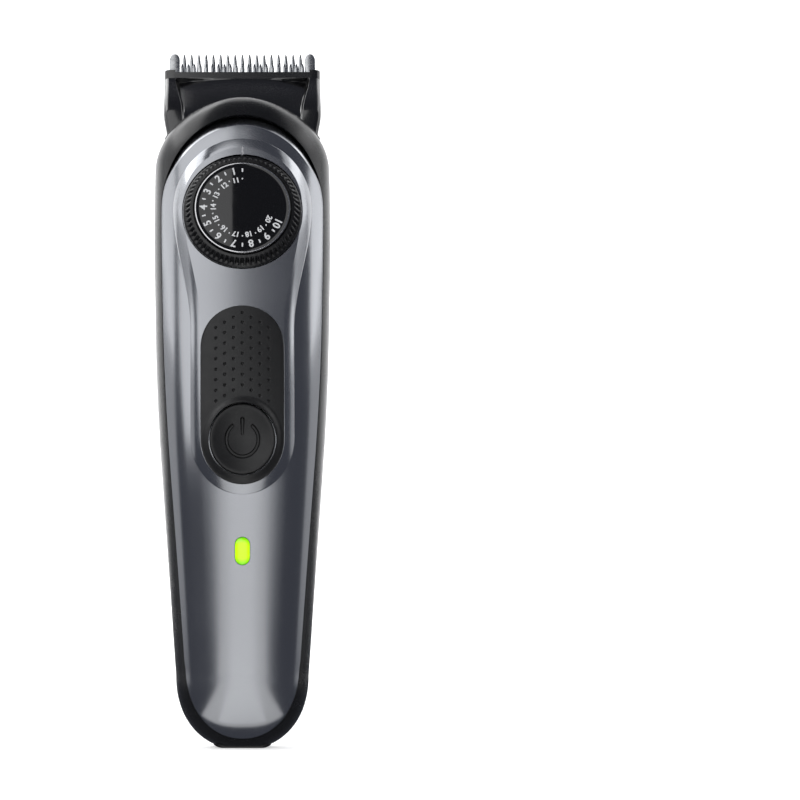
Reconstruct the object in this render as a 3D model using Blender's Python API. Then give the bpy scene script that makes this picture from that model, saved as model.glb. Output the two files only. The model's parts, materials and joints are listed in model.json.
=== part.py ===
"""Cordless beard trimmer with a length dial, a sliding comb carriage and a detachable cutting head.

The trimmer stands on its charging socket with its front (dial, button, light) towards -Y and +Z up.
Every piece is first drawn "straight", in millimetres: x across, y from front to back, t up the handle.
It then goes to its place in one of three ways: lower pieces stay as drawn, neck pieces turn rigidly with
the upper part of the handle, which leans back, and bent pieces follow the curve between the two. The frame's
origin is on the ground, in the middle of the whole width and depth.
"""

from math import asin, atan, cos, hypot, pi, radians, sin, sqrt, tan

import bmesh
import bpy
from mathutils import Vector

MM = 0.001

# ---------------------------------------------------------------- driving dimensions (millimetres)
LEAN = radians(13.0)  # how far the neck leans back
BEND_START = 60.0  # t where the handle starts to curve
BEND_END = 100.0  # t where it is straight again
BEND_RADIUS = (BEND_END - BEND_START) / LEAN

FOOT_FORWARD = 10.132  # the foot stands this far in front of the middle of the whole depth

GAP = 0.3  # clearance between touching pieces
WALL = 2.0  # casing wall
BASE_T = 0.5  # underside of the casing, above the socket's foot

SHOULDER_T = 143.0  # where the top dome of the casing starts
DOME_RISE = 17.9
DOME_EDGE_Y = -5.2  # front face of the casing at the dome's rim
TONGUE_BACK_Y = -3.4  # back of the front tongue, which hides the head's foot
NECK_TOP_T = 151.0  # flat seat of the head

END_LENGTH = 17.5  # rounded lower end of the casing
COVER_LOW_T = 20.0  # where the cover's lower end starts to round
COVER_LOW_LENGTH = 17.6
COVER_HIGH_T = 131.3  # where the cover's top arch starts
COVER_HIGH_LENGTH = 22.3
COVER_HIGH_HALF = 19.9
COVER_BACK_Y = -6.2  # the cover reaches no further back than this

KEYHOLE_TOP_T = 130.0  # centre of the raised panel's round top
KEYHOLE_TOP_HALF = 17.0
KEYHOLE_TOP_LENGTH = 16.8
KEYHOLE_LOW_HALF = 12.5
KEYHOLE_LOW_T = 73.4
PANEL_RISE = 0.75
PANEL_BORDER = 2.5  # width of the slope round the platform
PANEL_CROWN = 0.7

DIAL_T = 127.7
DIAL_RADIUS = 14.4
DIAL_FACE_RADIUS = 11.7
DIAL_FLOOR_Y = -14.0  # floor of the dial's recess in the cover
DIAL_SWEEP = radians(244.3)
COMB_TRAVEL = 9.5
PINION_TEETH = 12
PITCH_RADIUS = COMB_TRAVEL / DIAL_SWEEP
YOKE_ARM_X = 11.9

PAD_HALF = 10.0
PAD_LOW_T = 63.2
PAD_HIGH_T = 103.6
BUTTON_T = 73.1
BUTTON_RADIUS = 7.9
BUTTON_TRAVEL = 0.6
SWITCH_T = 73.85  # height on the board of the switch under the button

LIGHT_T = 47.4
LIGHT_HALF_WIDTH = 1.75
LIGHT_HALF_LENGTH = 3.3

MOTOR_Y = 1.0
MOTOR_RADIUS = 10.0
MOTOR_FLAT = 7.7
MOTOR_LOW_T = 106.0
MOTOR_HIGH_T = 134.0
CRANK_THROW = 1.2
PIN_RADIUS = 1.0

HEAD_HALF = 19.75
HEAD_LOW_T = NECK_TOP_T + GAP
HEAD_HIGH_T = 172.2
LIP_LOW_T = 169.9  # lower edge of the upright bar under the teeth
TEETH_TIP_T = 180.1
TEETH_ROOT_T = 173.7
BLADE_LOW_T = 158.0
BLADE_Y = 11.9  # face of the fixed blade that the cutter runs on
BLADE_SCREW_X = 14.0
BLADE_SCREW_T = 160.2
CUTTER_TIP_T = 177.1
CUTTER_ROOT_T = 173.2
FIXED_PITCH = 1.86
FIXED_TEETH = 17
MOVING_PITCH = 1.54
MOVING_TEETH = 21

COLOURS = {
    "black_gloss": ((0.012, 0.012, 0.014), 0.18, 0.0),
    "black_satin": ((0.030, 0.031, 0.034), 0.42, 0.0),
    "soft_black": ((0.040, 0.041, 0.044), 0.62, 0.0),
    "silver_grey": ((0.36, 0.37, 0.39), 0.28, 0.85),
    "steel": ((0.72, 0.72, 0.73), 0.22, 1.0),
    "brass": ((0.75, 0.55, 0.22), 0.3, 1.0),
    "nickel": ((0.62, 0.61, 0.58), 0.3, 1.0),
    "green_light": ((0.35, 0.95, 0.05), 0.3, 0.0),
    "board_green": ((0.02, 0.16, 0.07), 0.5, 0.0),
    "cell_wrap": ((0.08, 0.25, 0.55), 0.4, 0.0),
    "inner_grey": ((0.25, 0.26, 0.28), 0.5, 0.0),
    "white_acetal": ((0.82, 0.82, 0.80), 0.4, 0.0),
    "rubber": ((0.02, 0.02, 0.02), 0.8, 0.0),
    "lead_red": ((0.6, 0.03, 0.03), 0.5, 0.0),
}


# ---------------------------------------------------------------- the three ways a piece is placed
def lower(x, y, t):
    return Vector((x, y - FOOT_FORWARD, t))


def neck(x, y, t):
    """The rigid turn of everything above the bend."""
    y_out = BEND_RADIUS - (BEND_RADIUS - y) * cos(LEAN) + (t - BEND_END) * sin(LEAN)
    z_out = BEND_START + (BEND_RADIUS - y) * sin(LEAN) + (t - BEND_END) * cos(LEAN)
    return lower(x, y_out, z_out)


def bent(x, y, t):
    """Follows the handle: straight, then an arc, then the leaning neck."""
    if t <= BEND_START:
        return lower(x, y, t)
    if t >= BEND_END:
        return neck(x, y, t)
    angle = (t - BEND_START) / BEND_RADIUS
    reach = BEND_RADIUS - y
    return lower(x, BEND_RADIUS - reach * cos(angle), BEND_START + reach * sin(angle))


# ---------------------------------------------------------------- shape of the handle
def smooth(a, b, value):
    """0 below a, 1 above b, an S-curve between."""
    u = min(1.0, max(0.0, (value - a) / (b - a)))
    return u * u * (3 - 2 * u)


def arch(share, power):
    """Height of a superellipse quadrant at this share of its length."""
    return max(0.0, 1.0 - min(1.0, share) ** power) ** (1.0 / power)


def side_half(t):
    """Half the handle's width at t, without its rounded ends."""
    lower_part = 16.1 + (t - END_LENGTH) * 0.072
    belly = 21.85 - 0.00075 * (t - 131.0) ** 2
    share = smooth(70.0, 112.0, t)
    return lower_part * (1 - share) + belly * share


def body_half(t):
    """Half the casing's width at t."""
    if t < END_LENGTH:
        return side_half(END_LENGTH) * arch((END_LENGTH - t) / (END_LENGTH + 0.6), 2.2)
    if t > SHOULDER_T:
        return side_half(SHOULDER_T) * arch((t - SHOULDER_T) / DOME_RISE, 1.95)
    return side_half(t)


def front_depth(t):
    """How far the casing's front lies from the centre plane."""
    if t > SHOULDER_T:
        share = arch((t - SHOULDER_T) / DOME_RISE, 2.2)
        return -DOME_EDGE_Y + (0.55 * side_half(SHOULDER_T) + 2.4 + DOME_EDGE_Y) * share
    return 0.55 * body_half(t) + 2.4


def back_depth(t):
    """How far the casing's back lies from the centre plane."""
    return 0.55 * body_half(min(t, SHOULDER_T)) + 2.4 + 0.6 * smooth(90.0, 112.0, t)


def section_y(x, half, depth):
    """Depth of the superelliptic section at x."""
    return depth * arch(abs(x) / half, 2.6)


def cover_half(t):
    """Half the front cover's width at t."""
    if t < COVER_LOW_T:
        return 13.7 * arch((COVER_LOW_T - t) / COVER_LOW_LENGTH, 2.1)
    if t > COVER_HIGH_T:
        return COVER_HIGH_HALF * arch((t - COVER_HIGH_T) / COVER_HIGH_LENGTH, 1.9)
    return body_half(t) - 2.4 + 0.45 * smooth(40.0, 120.0, t)


def keyhole_half(t):
    """Half the width of the raised panel round the dial and the thumb pad."""
    if t > KEYHOLE_TOP_T:
        return KEYHOLE_TOP_HALF * arch((t - KEYHOLE_TOP_T) / KEYHOLE_TOP_LENGTH, 2.0)
    if t < KEYHOLE_LOW_T:
        return KEYHOLE_LOW_HALF * arch((KEYHOLE_LOW_T - t) / KEYHOLE_LOW_HALF, 2.0)
    return KEYHOLE_LOW_HALF + (KEYHOLE_TOP_HALF - KEYHOLE_LOW_HALF) * smooth(98.0, KEYHOLE_TOP_T, t)


def panel_y(x, t):
    """Front face of the raised panel."""
    return -front_depth(t) - PANEL_RISE + PANEL_CROWN * (x / KEYHOLE_TOP_HALF) ** 2


# ---------------------------------------------------------------- mesh building
def loft(rings):
    """A closed body through rings of the same number of points, capped at both ends."""
    bm = bmesh.new()
    made = [[bm.verts.new(p) for p in ring] for ring in rings]
    for low, high in zip(made, made[1:]):
        for i in range(len(low)):
            j = (i + 1) % len(low)
            bm.faces.new((low[i], low[j], high[j], high[i]))
    bm.faces.new(made[0][::-1])
    bm.faces.new(made[-1])
    bmesh.ops.recalc_face_normals(bm, faces=bm.faces)
    return bm


def ellipse_ring(half, front, back, t, count, power=2.6):
    """One section of the casing, starting at +x and running through the back."""
    ring = []
    for i in range(count):
        angle = 2 * pi * i / count
        c, s = cos(angle), sin(angle)
        x = half * abs(c) ** (2 / power) * (1 if c >= 0 else -1)
        y = (back if s >= 0 else -front) * abs(s) ** (2 / power)
        ring.append((x, y, t))
    return ring


def outline_points(half_at, low, high, steps):
    """The outline of a shape given by its half width, as (x, t) points running up the right side."""
    stations = [low + (high - low) * (0.5 - 0.5 * cos(pi * i / steps)) for i in range(steps + 1)]
    right = [(half_at(t), t) for t in stations]
    left = [(-x, t) for x, t in reversed(right)]
    points = []
    for p in right + left:
        if not points or (Vector(p) - Vector(points[-1])).length > 0.05:
            points.append(p)
    if (Vector(points[0]) - Vector(points[-1])).length < 0.05:
        points.pop()
    return points


def grown(points, amount):
    """An outline moved outwards by this amount all the way round."""
    moved = []
    for i in range(len(points)):
        before, here, after = (Vector(points[(i + k) % len(points)]) for k in (-1, 0, 1))
        along = ((here - before).normalized() + (after - here).normalized()).normalized()
        moved.append((here.x + along.y * amount, here.y - along.x * amount))
    return moved


def plate(points, y0, y1):
    """An outline in x and t, thick from y0 to y1."""
    return loft([[(x, y, t) for x, t in points] for y in (y0, y1)])


def slab(points, t0, t1):
    """An outline in x and y, tall from t0 to t1."""
    return loft([[(x, y, t) for x, y in points] for t in (t0, t1)])


def side_plate(points, x0, x1):
    """An outline in y and t, wide from x0 to x1."""
    return loft([[(x, y, t) for y, t in points] for x in (x0, x1)])


def box(x0, x1, y0, y1, t0, t1):
    return slab([(x0, y0), (x1, y0), (x1, y1), (x0, y1)], t0, t1)


def circle(cx, cy, radius, count=24, start=0.0):
    return [
        (cx + radius * cos(start + 2 * pi * i / count), cy + radius * sin(start + 2 * pi * i / count))
        for i in range(count)
    ]


def turned(profile, centre, count=32):
    """A body turned about the front-to-back line through centre (x, t); profile holds (radius, y)."""
    rings = [[(x, y, t) for x, t in circle(*centre, max(r, 0.02), count)] for r, y in profile]
    return loft(rings)


def upright(profile, centre, count=32):
    """A body turned about the line up the handle through centre (x, y); profile holds (radius, t)."""
    rings = [[(x, y, t) for x, y in circle(*centre, max(r, 0.02), count)] for r, t in profile]
    return loft(rings)


def pill(half_width, low, high, count=16):
    """An upright slot outline in x and t."""
    right = [(half_width * cos(a), high - half_width + half_width * sin(a)) for a in half_turn(0, count)]
    left = [(half_width * cos(a), low + half_width + half_width * sin(a)) for a in half_turn(pi, count)]
    return right + left


def half_turn(start, count):
    return [start + pi * i / count for i in range(count + 1)]


def rounded(x0, x1, y0, y1, radius, count=4):
    """A rectangle with round corners."""
    points = []
    for cx, cy, start in (
        (x1 - radius, y1 - radius, 0.0),
        (x0 + radius, y1 - radius, pi / 2),
        (x0 + radius, y0 + radius, pi),
        (x1 - radius, y0 + radius, 3 * pi / 2),
    ):
        for i in range(count + 1):
            a = start + pi / 2 * i / count
            points.append((cx + radius * cos(a), cy + radius * sin(a)))
    return points


def combine(first, second, operation="DIFFERENCE"):
    """first cut by, joined with or limited to second. Both are used up."""
    holders = []
    for bm in (first, second):
        mesh = bpy.data.meshes.new("shape")
        bm.to_mesh(mesh)
        bm.free()
        holder = bpy.data.objects.new("shape", mesh)
        bpy.context.scene.collection.objects.link(holder)
        holders.append(holder)
    modifier = holders[0].modifiers.new("cut", "BOOLEAN")
    modifier.operation = operation
    modifier.solver = "EXACT"
    modifier.object = holders[1]
    graph = bpy.context.evaluated_depsgraph_get()
    result = bmesh.new()
    result.from_mesh(holders[0].evaluated_get(graph).to_mesh())
    for holder in holders:
        mesh = holder.data
        bpy.data.objects.remove(holder)
        bpy.data.meshes.remove(mesh)
    return result


def cut(first, *tools):
    for tool in tools:
        first = combine(first, tool)
    return first


def join(first, *others):
    for other in others:
        first = combine(first, other, "UNION")
    return first


# ---------------------------------------------------------------- objects
MATERIALS = {}


def material(name):
    if name not in MATERIALS:
        colour, roughness, metallic = COLOURS[name]
        made = bpy.data.materials.new(name)
        made.use_nodes = True
        shader = made.node_tree.nodes["Principled BSDF"]
        shader.inputs["Base Color"].default_value = (*colour, 1.0)
        shader.inputs["Roughness"].default_value = roughness
        shader.inputs["Metallic"].default_value = metallic
        MATERIALS[name] = made
    return MATERIALS[name]


def add(name, bm, finish, where, parent=None):
    """Makes the object: its points go from straight millimetres to their place in metres."""
    bmesh.ops.remove_doubles(bm, verts=bm.verts, dist=0.004)
    bmesh.ops.dissolve_degenerate(bm, edges=bm.edges, dist=0.003)
    bmesh.ops.triangulate(bm, faces=bm.faces)
    offset = parent.location if parent else Vector((0, 0, 0))
    for v in bm.verts:
        v.co = where(*v.co) * MM - offset
    mesh = bpy.data.meshes.new(name)
    bm.to_mesh(mesh)
    bm.free()
    mesh.shade_smooth()
    mesh.set_sharp_from_angle(angle=radians(32))
    mesh.materials.append(material(finish))
    obj = bpy.data.objects.new(name, mesh)
    bpy.context.scene.collection.objects.link(obj)
    obj.parent = parent
    return obj


def pivot(name, where, x, y, t):
    """An empty on a joint's axis; the pieces that move about it are its children."""
    empty = bpy.data.objects.new(name, None)
    bpy.context.scene.collection.objects.link(empty)
    empty.location = where(x, y, t) * MM
    return empty


# ---------------------------------------------------------------- casing
def casing_body(inset, stations, count):
    """The handle's outer form, or its inner form when inset by the wall."""
    rings = []
    for t in stations:
        half = max(body_half(t) - inset, 0.8)
        front = max(front_depth(t) - inset, 0.8)
        rings.append(ellipse_ring(half, front, back_depth(t) - inset, t, count))
    return loft(rings)


def casing_stations():
    ends = [BASE_T, 1.7, 3.0, 5.0, 8.0, 12.0, 17.0]
    middle = [24.0 + 12.0 * i for i in range(4)] + [66.0 + 6.0 * i for i in range(13)]
    top = [SHOULDER_T + DOME_RISE * sin(pi / 2 * i / 7) for i in range(1, 7)]
    return ends + middle + top + [SHOULDER_T + DOME_RISE - 0.12]


def hollow_casing():
    outer = casing_body(0.0, casing_stations(), 44)
    hollow_stations = [3.4, 5.0, 8.0, 12.0, 17.0, 30.0, 46.0]
    hollow_stations += [60.0 + 10.0 * i for i in range(5)] + [116.0, 132.0, SHOULDER_T, 148.8]
    return cut(outer, casing_body(WALL, hollow_stations, 32))


GRIP_STATIONS = [8.0, 17.0, 24.0, 36.0] + [60.0 + 10.0 * i for i in range(7)]


def cover_prism(grow):
    """The cover's outline as a solid, for cutting the casing into its front and rear shells."""
    low, high = COVER_LOW_T - COVER_LOW_LENGTH, COVER_HIGH_T + COVER_HIGH_LENGTH
    outline = outline_points(cover_half, low, high, 44)
    return plate(grown(outline, grow), -40.0, COVER_BACK_Y + grow)


def panel_share(x, t):
    """How far up the panel's sloping border a point is: 0 on the keyhole outline, 1 inside the border."""
    inset = keyhole_half(t) - abs(x)
    if t < KEYHOLE_LOW_T:
        inset = min(inset, KEYHOLE_LOW_HALF - hypot(x, KEYHOLE_LOW_T - t))
    if t > KEYHOLE_TOP_T:
        reach = hypot(x / KEYHOLE_TOP_HALF, (t - KEYHOLE_TOP_T) / KEYHOLE_TOP_LENGTH)
        inset = min(inset, (1 - reach) * KEYHOLE_TOP_LENGTH)
    return min(1.0, max(0.0, inset / PANEL_BORDER))


def raised_panel():
    """The keyhole panel: flatter across than the cover it grows from, with a sloping border."""
    low, high = KEYHOLE_LOW_T - KEYHOLE_LOW_HALF + 0.1, KEYHOLE_TOP_T + KEYHOLE_TOP_LENGTH - 0.15
    stations = [low + (high - low) * (0.5 - 0.5 * cos(pi * i / 26)) for i in range(27)]
    rings = []
    for t in stations:
        half = keyhole_half(t)
        inner_half = max(half - PANEL_BORDER, 0.6 * half)
        right = [half, 0.6 * half + 0.4 * inner_half, inner_half, 0.5 * inner_half]
        ring = []
        for x in right + [0.0] + [-x for x in reversed(right)]:
            outer = -section_y(x, max(body_half(t), abs(x)), front_depth(t)) - 0.1
            share = panel_share(x, t)
            ring.append((x, outer * (1 - share) + panel_y(x, t) * share, t))
        for x in (-half, -0.5 * half, 0.0, 0.5 * half, half):
            ring.append((x, 1.6 - section_y(x, max(body_half(t), abs(x)), front_depth(t)), t))
        rings.append(ring)
    return loft(rings)


def front_cover():
    """Silver front shell: the front of the casing inside the cover outline, with the keyhole panel."""
    shell = combine(hollow_casing(), cover_prism(0.0), "INTERSECT")
    shell = join(shell, raised_panel())
    pocket_floor = panel_y(0.0, BUTTON_T) + 1.3
    light_low, light_high = LIGHT_T - LIGHT_HALF_LENGTH - 0.2, LIGHT_T + LIGHT_HALF_LENGTH + 0.2
    return cut(
        shell,
        turned([(DIAL_RADIUS + 0.4, -30.0), (DIAL_RADIUS + 0.4, DIAL_FLOOR_Y)], (0.0, DIAL_T), 40),
        turned([(3.9, -20.0), (3.9, -5.0)], (0.0, DIAL_T), 24),
        plate(pill(PAD_HALF + GAP, PAD_LOW_T - GAP, PAD_HIGH_T + GAP), -30.0, pocket_floor),
        turned([(BUTTON_RADIUS + 0.4, -20.0), (BUTTON_RADIUS + 0.4, -5.0)], (0.0, BUTTON_T), 32),
        plate(pill(LIGHT_HALF_WIDTH + 0.2, light_low, light_high, 8), -20.0, -5.0),
    )


def rear_housing():
    """Black back-and-sides shell, with the head's seat, the comb rail and the socket's opening."""
    head_space = box(-30.0, 30.0, TONGUE_BACK_Y, 30.0, NECK_TOP_T, 175.0)
    shell = cut(hollow_casing(), cover_prism(GAP), head_space)
    low, high = NECK_TOP_T - 1.2, NECK_TOP_T + 3.4
    pegs = [slab(rounded(s * 9.2 - 1.8, s * 9.2 + 1.8, -0.4, 8.6, 1.2), low, high) for s in (1, -1)]
    shell = join(shell, *pegs)
    channel = plate(rounded(-5.6, 5.6, 117.6, 139.7, 2.0), back_depth(DIAL_T) - 1.4, 30.0)
    slot = plate(rounded(-3.2, 3.2, 119.7, 137.6, 0.5, 2), 8.0, 30.0)
    socket_bay = slab(rounded(-7.0 - GAP, 7.0 + GAP, -4.9 - GAP, 4.9 + GAP, 2.0), -5.0, 9.0)
    crank_hole = upright([(2.7, 140.0), (2.7, 160.0)], (0.0, MOTOR_Y), 20)
    grip_bay = plate(pill(11.3, 17.7, 108.3, 12), 5.0, 30.0)
    grip_bay = combine(grip_bay, casing_body(0.9, GRIP_STATIONS, 44))
    return cut(shell, channel, slot, socket_bay, crank_hole, grip_bay)


def rear_grip():
    """Soft pad let into the back of the handle."""
    pad = combine(casing_body(-0.35, GRIP_STATIONS, 44), casing_body(0.9 - GAP, GRIP_STATIONS, 44))
    return combine(pad, plate(pill(11.0, 18.0, 108.0, 12), 4.0, 30.0), "INTERSECT")


# ---------------------------------------------------------------- controls on the front
def thumb_pad():
    """Soft pill round the power button; its dimples are left to the surface finish."""
    floor = panel_y(0.0, BUTTON_T) + 1.0
    top = plate(pill(PAD_HALF, PAD_LOW_T, PAD_HIGH_T, 16), -30.0, floor)
    stations = [PAD_LOW_T - 2 + (PAD_HIGH_T - PAD_LOW_T + 4) * i / 10 for i in range(11)]
    rings = []
    for t in stations:
        across = [12.0 * (1 - 2 * i / 8) for i in range(9)]
        ring = [(x, panel_y(x, t) - 0.55 + 0.5 * (x / PAD_HALF) ** 2, t) for x in across]
        rings.append(ring + [(-12.0, 0.0, t), (12.0, 0.0, t)])
    pad = combine(loft(rings), top, "INTERSECT")
    return cut(pad, turned([(BUTTON_RADIUS + 0.3, -30.0), (BUTTON_RADIUS + 0.3, 0.0)], (0.0, BUTTON_T), 34))


def power_button():
    face = panel_y(0.0, BUTTON_T)
    return turned(
        [
            (2.0, -10.35),
            (2.0, face + 2.9),
            (BUTTON_RADIUS - 1.2, face + 2.6),
            (BUTTON_RADIUS, face + 2.4),
            (BUTTON_RADIUS, face + 0.1),
            (BUTTON_RADIUS - 0.5, face - 0.45),
            (BUTTON_RADIUS - 1.8, face - 0.3),
            (3.0, face + 0.05),
        ],
        (0.0, BUTTON_T),
        32,
    )


def light_lens():
    low, high = LIGHT_T - LIGHT_HALF_LENGTH, LIGHT_T + LIGHT_HALF_LENGTH
    face = -front_depth(LIGHT_T)
    lens = plate(pill(LIGHT_HALF_WIDTH - 0.1, low, high, 8), -9.4, face - 0.1)
    flange = plate(pill(LIGHT_HALF_WIDTH + 0.9, low - 1.0, high + 1.0, 8), -9.9, -9.2)
    return join(lens, flange)


# ---------------------------------------------------------------- dial and comb drive
def dial_knob():
    """Knurled ring with a shallow bed for its face, and a hub that takes the spindle."""
    ribs = 72
    low_y = DIAL_FLOOR_Y - GAP
    levels = [
        (DIAL_RADIUS - 0.5, low_y, 0.0),
        (DIAL_RADIUS - 0.05, low_y - 0.3, 0.35),
        (DIAL_RADIUS - 0.35, low_y - 2.2, 0.35),
        (DIAL_FACE_RADIUS + 1.0, low_y - 3.5, 0.25),
        (DIAL_FACE_RADIUS + 0.55, low_y - 3.6, 0.0),
    ]
    rings = []
    for radius, y, depth in levels:
        ring = []
        for i in range(2 * ribs):
            r = radius - (depth if i % 2 else 0.0)
            a = 2 * pi * i / (2 * ribs)
            ring.append((r * cos(a), y, DIAL_T + r * sin(a)))
        rings.append(ring)
    knob = loft(rings)
    bed_radius = DIAL_FACE_RADIUS + 0.15
    bed = turned([(bed_radius, low_y - 2.6), (bed_radius, -40.0)], (0.0, DIAL_T), 48)
    bore = turned([(2.1, -40.0), (2.1, 0.0)], (0.0, DIAL_T), 16)
    return cut(knob, bed, bore)


def dial_face():
    y = DIAL_FLOOR_Y - GAP
    return turned(
        [
            (DIAL_FACE_RADIUS - 0.2, y - 2.9),
            (DIAL_FACE_RADIUS, y - 3.1),
            (DIAL_FACE_RADIUS - 0.1, y - 3.6),
            (DIAL_FACE_RADIUS - 0.5, y - 3.75),
            (5.0, y - 3.8),
        ],
        (0.0, DIAL_T),
        48,
    )


def dial_spindle():
    """Turned pin through the cover, pressed into the knob, with the pinion on its inner end."""
    return turned(
        [(1.8, -16.7), (1.8, -13.7), (2.6, -13.6), (2.6, -11.75), (1.1, -11.7), (1.1, -8.5), (0.9, -8.3)],
        (0.0, DIAL_T),
        20,
    )


def dial_bush():
    """Bearing sleeve between the spindle and the cover."""
    sleeve = turned([(3.6, -13.6), (3.6, -11.8)], (0.0, DIAL_T), 24)
    return cut(sleeve, turned([(2.68, -20.0), (2.68, 0.0)], (0.0, DIAL_T), 24))


def involute(base_radius, radius):
    """Angle swept by the involute from the base circle to this radius."""
    ratio = sqrt(max(0.0, (radius / base_radius) ** 2 - 1))
    return ratio - atan(ratio)


def pinion():
    """Spur pinion with involute teeth, thinned for running clearance."""
    module = 2 * PITCH_RADIUS / PINION_TEETH
    pressure = radians(20.0)
    base = PITCH_RADIUS * cos(pressure)
    half_tooth = pi / (2 * PINION_TEETH) - 0.045
    root, tip = PITCH_RADIUS - 1.2 * module, PITCH_RADIUS + 0.85 * module
    radii = [base, PITCH_RADIUS, (PITCH_RADIUS + tip) / 2, tip]
    points = []
    for k in range(PINION_TEETH):
        centre = 2 * pi * k / PINION_TEETH
        flank = [
            (r, half_tooth + involute(base, PITCH_RADIUS) - involute(base, r)) for r in radii
        ]
        flank = [(root, flank[0][1] + 0.02)] + flank
        for r, a in flank:
            points.append((r * cos(centre - a), DIAL_T + r * sin(centre - a)))
        for r, a in reversed(flank):
            points.append((r * cos(centre + a), DIAL_T + r * sin(centre + a)))
    gear = plate(points, -11.2, -8.9)
    return cut(gear, turned([(1.25, -20.0), (1.25, 0.0)], (0.0, DIAL_T), 16))


def rack_outline():
    """Outer frame of the sliding rack plate, and its toothed window, as (x, t) outlines."""
    module = 2 * PITCH_RADIUS / PINION_TEETH
    pitch = pi * module
    pressure = radians(20.0)
    low, high = DIAL_T - COMB_TRAVEL - 3.4, DIAL_T + 3.4
    window = [(3.6, low), (3.6, high), (-3.2, high)]
    first = int((high - DIAL_T) / pitch - 0.5)
    last = int((low - DIAL_T) / pitch + 0.5)
    addendum, dedendum = 0.85 * module, 1.2 * module
    for k in range(first, last - 1, -1):
        gap_centre = DIAL_T + k * pitch
        tooth_half = pitch / 4 + 0.06
        for depth, side in ((addendum, 1), (-dedendum, 1), (-dedendum, -1), (addendum, -1)):
            x = -PITCH_RADIUS + depth
            half = tooth_half + depth * tan(pressure)
            window.append((x, gap_centre + side * half))
    window.append((-PITCH_RADIUS + addendum, low))
    return window


def rack_yoke():
    """Rack plate in front of the motor and two arms that reach round it to the carriage."""
    front = [(-12.9, -9.0), (12.9, -9.0), (12.9, -9.3), (9.8, -11.1), (-9.8, -11.1), (-12.9, -9.3)]
    frame = slab(front, 112.6, 133.0)
    window = plate(rack_outline(), -20.0, -5.0)
    openings = [box(s * 7.3 - 1.9, s * 7.3 + 1.9, -20.0, 0.0, 115.5, 130.0) for s in (1, -1)]
    arms = [box(s * YOKE_ARM_X - 1.0, s * YOKE_ARM_X + 1.0, -9.2, 8.3, 117.0, 131.0) for s in (1, -1)]
    holes = [turned([(0.95, 2.0), (0.95, 12.0)], (s * YOKE_ARM_X, DIAL_T - 3.7), 14) for s in (1, -1)]
    return cut(join(cut(frame, window, *openings), *arms), *holes)


def comb_carriage():
    """Rear slider: inner plate, web through the slot, and the tongue that a comb clicks on."""
    inner = box(-12.9, 12.9, 8.75, 10.0, 117.0, 131.0)
    web = box(-2.9, 2.9, 9.6, 14.4, 120.0, 127.8)
    back = back_depth(DIAL_T)
    tongue = plate(rounded(-5.2, 5.2, 118.0, 129.8, 1.6), back - 1.1, back + 0.7)
    holes = [
        turned([(0.95, 5.0), (0.95, 9.2), (1.95, 10.3)], (s * YOKE_ARM_X, DIAL_T - 3.7), 14) for s in (1, -1)
    ]
    return cut(join(inner, web, tongue), *holes)


def carriage_screw(side):
    """Countersunk cross-head screw that holds the carriage to a yoke arm."""
    x, t = side * YOKE_ARM_X, DIAL_T - 3.7
    body = turned([(0.65, 3.4), (0.65, 9.15), (1.35, 9.85)], (x, t), 14)
    slots = [
        box(x - 0.8, x + 0.8, 9.5, 12.0, t - 0.15, t + 0.15),
        box(x - 0.15, x + 0.15, 9.5, 12.0, t - 0.8, t + 0.8),
    ]
    return cut(body, *slots)


def detent_spring():
    """Leaf that clicks round the spindle, on the inside of the cover."""
    outline = [(2.9, -12.0), (3.6, -11.75), (8.5, -11.65), (8.5, -11.3), (3.5, -11.4), (2.7, -11.65)]
    return slab(outline, 135.0, 138.0)


# ---------------------------------------------------------------- motor and drive
def flat_sided(radius, flat, count=32):
    """A circle with its front and back cut flat, round the motor's axis."""
    points = circle(0.0, 0.0, radius, count, pi / count)
    return [(x, max(-flat, min(flat, y)) + MOTOR_Y) for x, y in points]


def motor_can():
    """Flat-sided motor can with its bearing collar."""
    can = slab(flat_sided(MOTOR_RADIUS, MOTOR_FLAT), MOTOR_LOW_T + 4.0, MOTOR_HIGH_T)
    collar = upright([(3.0, MOTOR_HIGH_T - 1.0), (3.0, MOTOR_HIGH_T + 1.4)], (0.0, MOTOR_Y), 20)
    return cut(join(can, collar), upright([(1.08, 125.0), (1.08, 140.0)], (0.0, MOTOR_Y), 16))


def motor_end_cap():
    return slab(flat_sided(MOTOR_RADIUS - 0.4, MOTOR_FLAT - 0.4), MOTOR_LOW_T, MOTOR_LOW_T + 4.0 - GAP)


def motor_shaft():
    return upright([(0.75, 125.6), (1.0, 125.9), (1.0, 141.4), (0.8, 141.6)], (0.0, MOTOR_Y), 16)


def eccentric_cam():
    """Crank disc on the shaft, with the offset pin that drives the cutter."""
    disc = upright([(3.4, 139.0), (3.6, 139.2), (3.6, 142.6), (3.4, 142.8)], (0.0, MOTOR_Y), 28)
    pin_profile = [(PIN_RADIUS, 142.0), (PIN_RADIUS, 155.1), (PIN_RADIUS - 0.4, 155.6)]
    pin = upright(pin_profile, (CRANK_THROW, MOTOR_Y), 16)
    bore = upright([(1.12, 130.0), (1.12, 142.0)], (0.0, MOTOR_Y), 16)
    return cut(join(disc, pin), bore)


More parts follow.
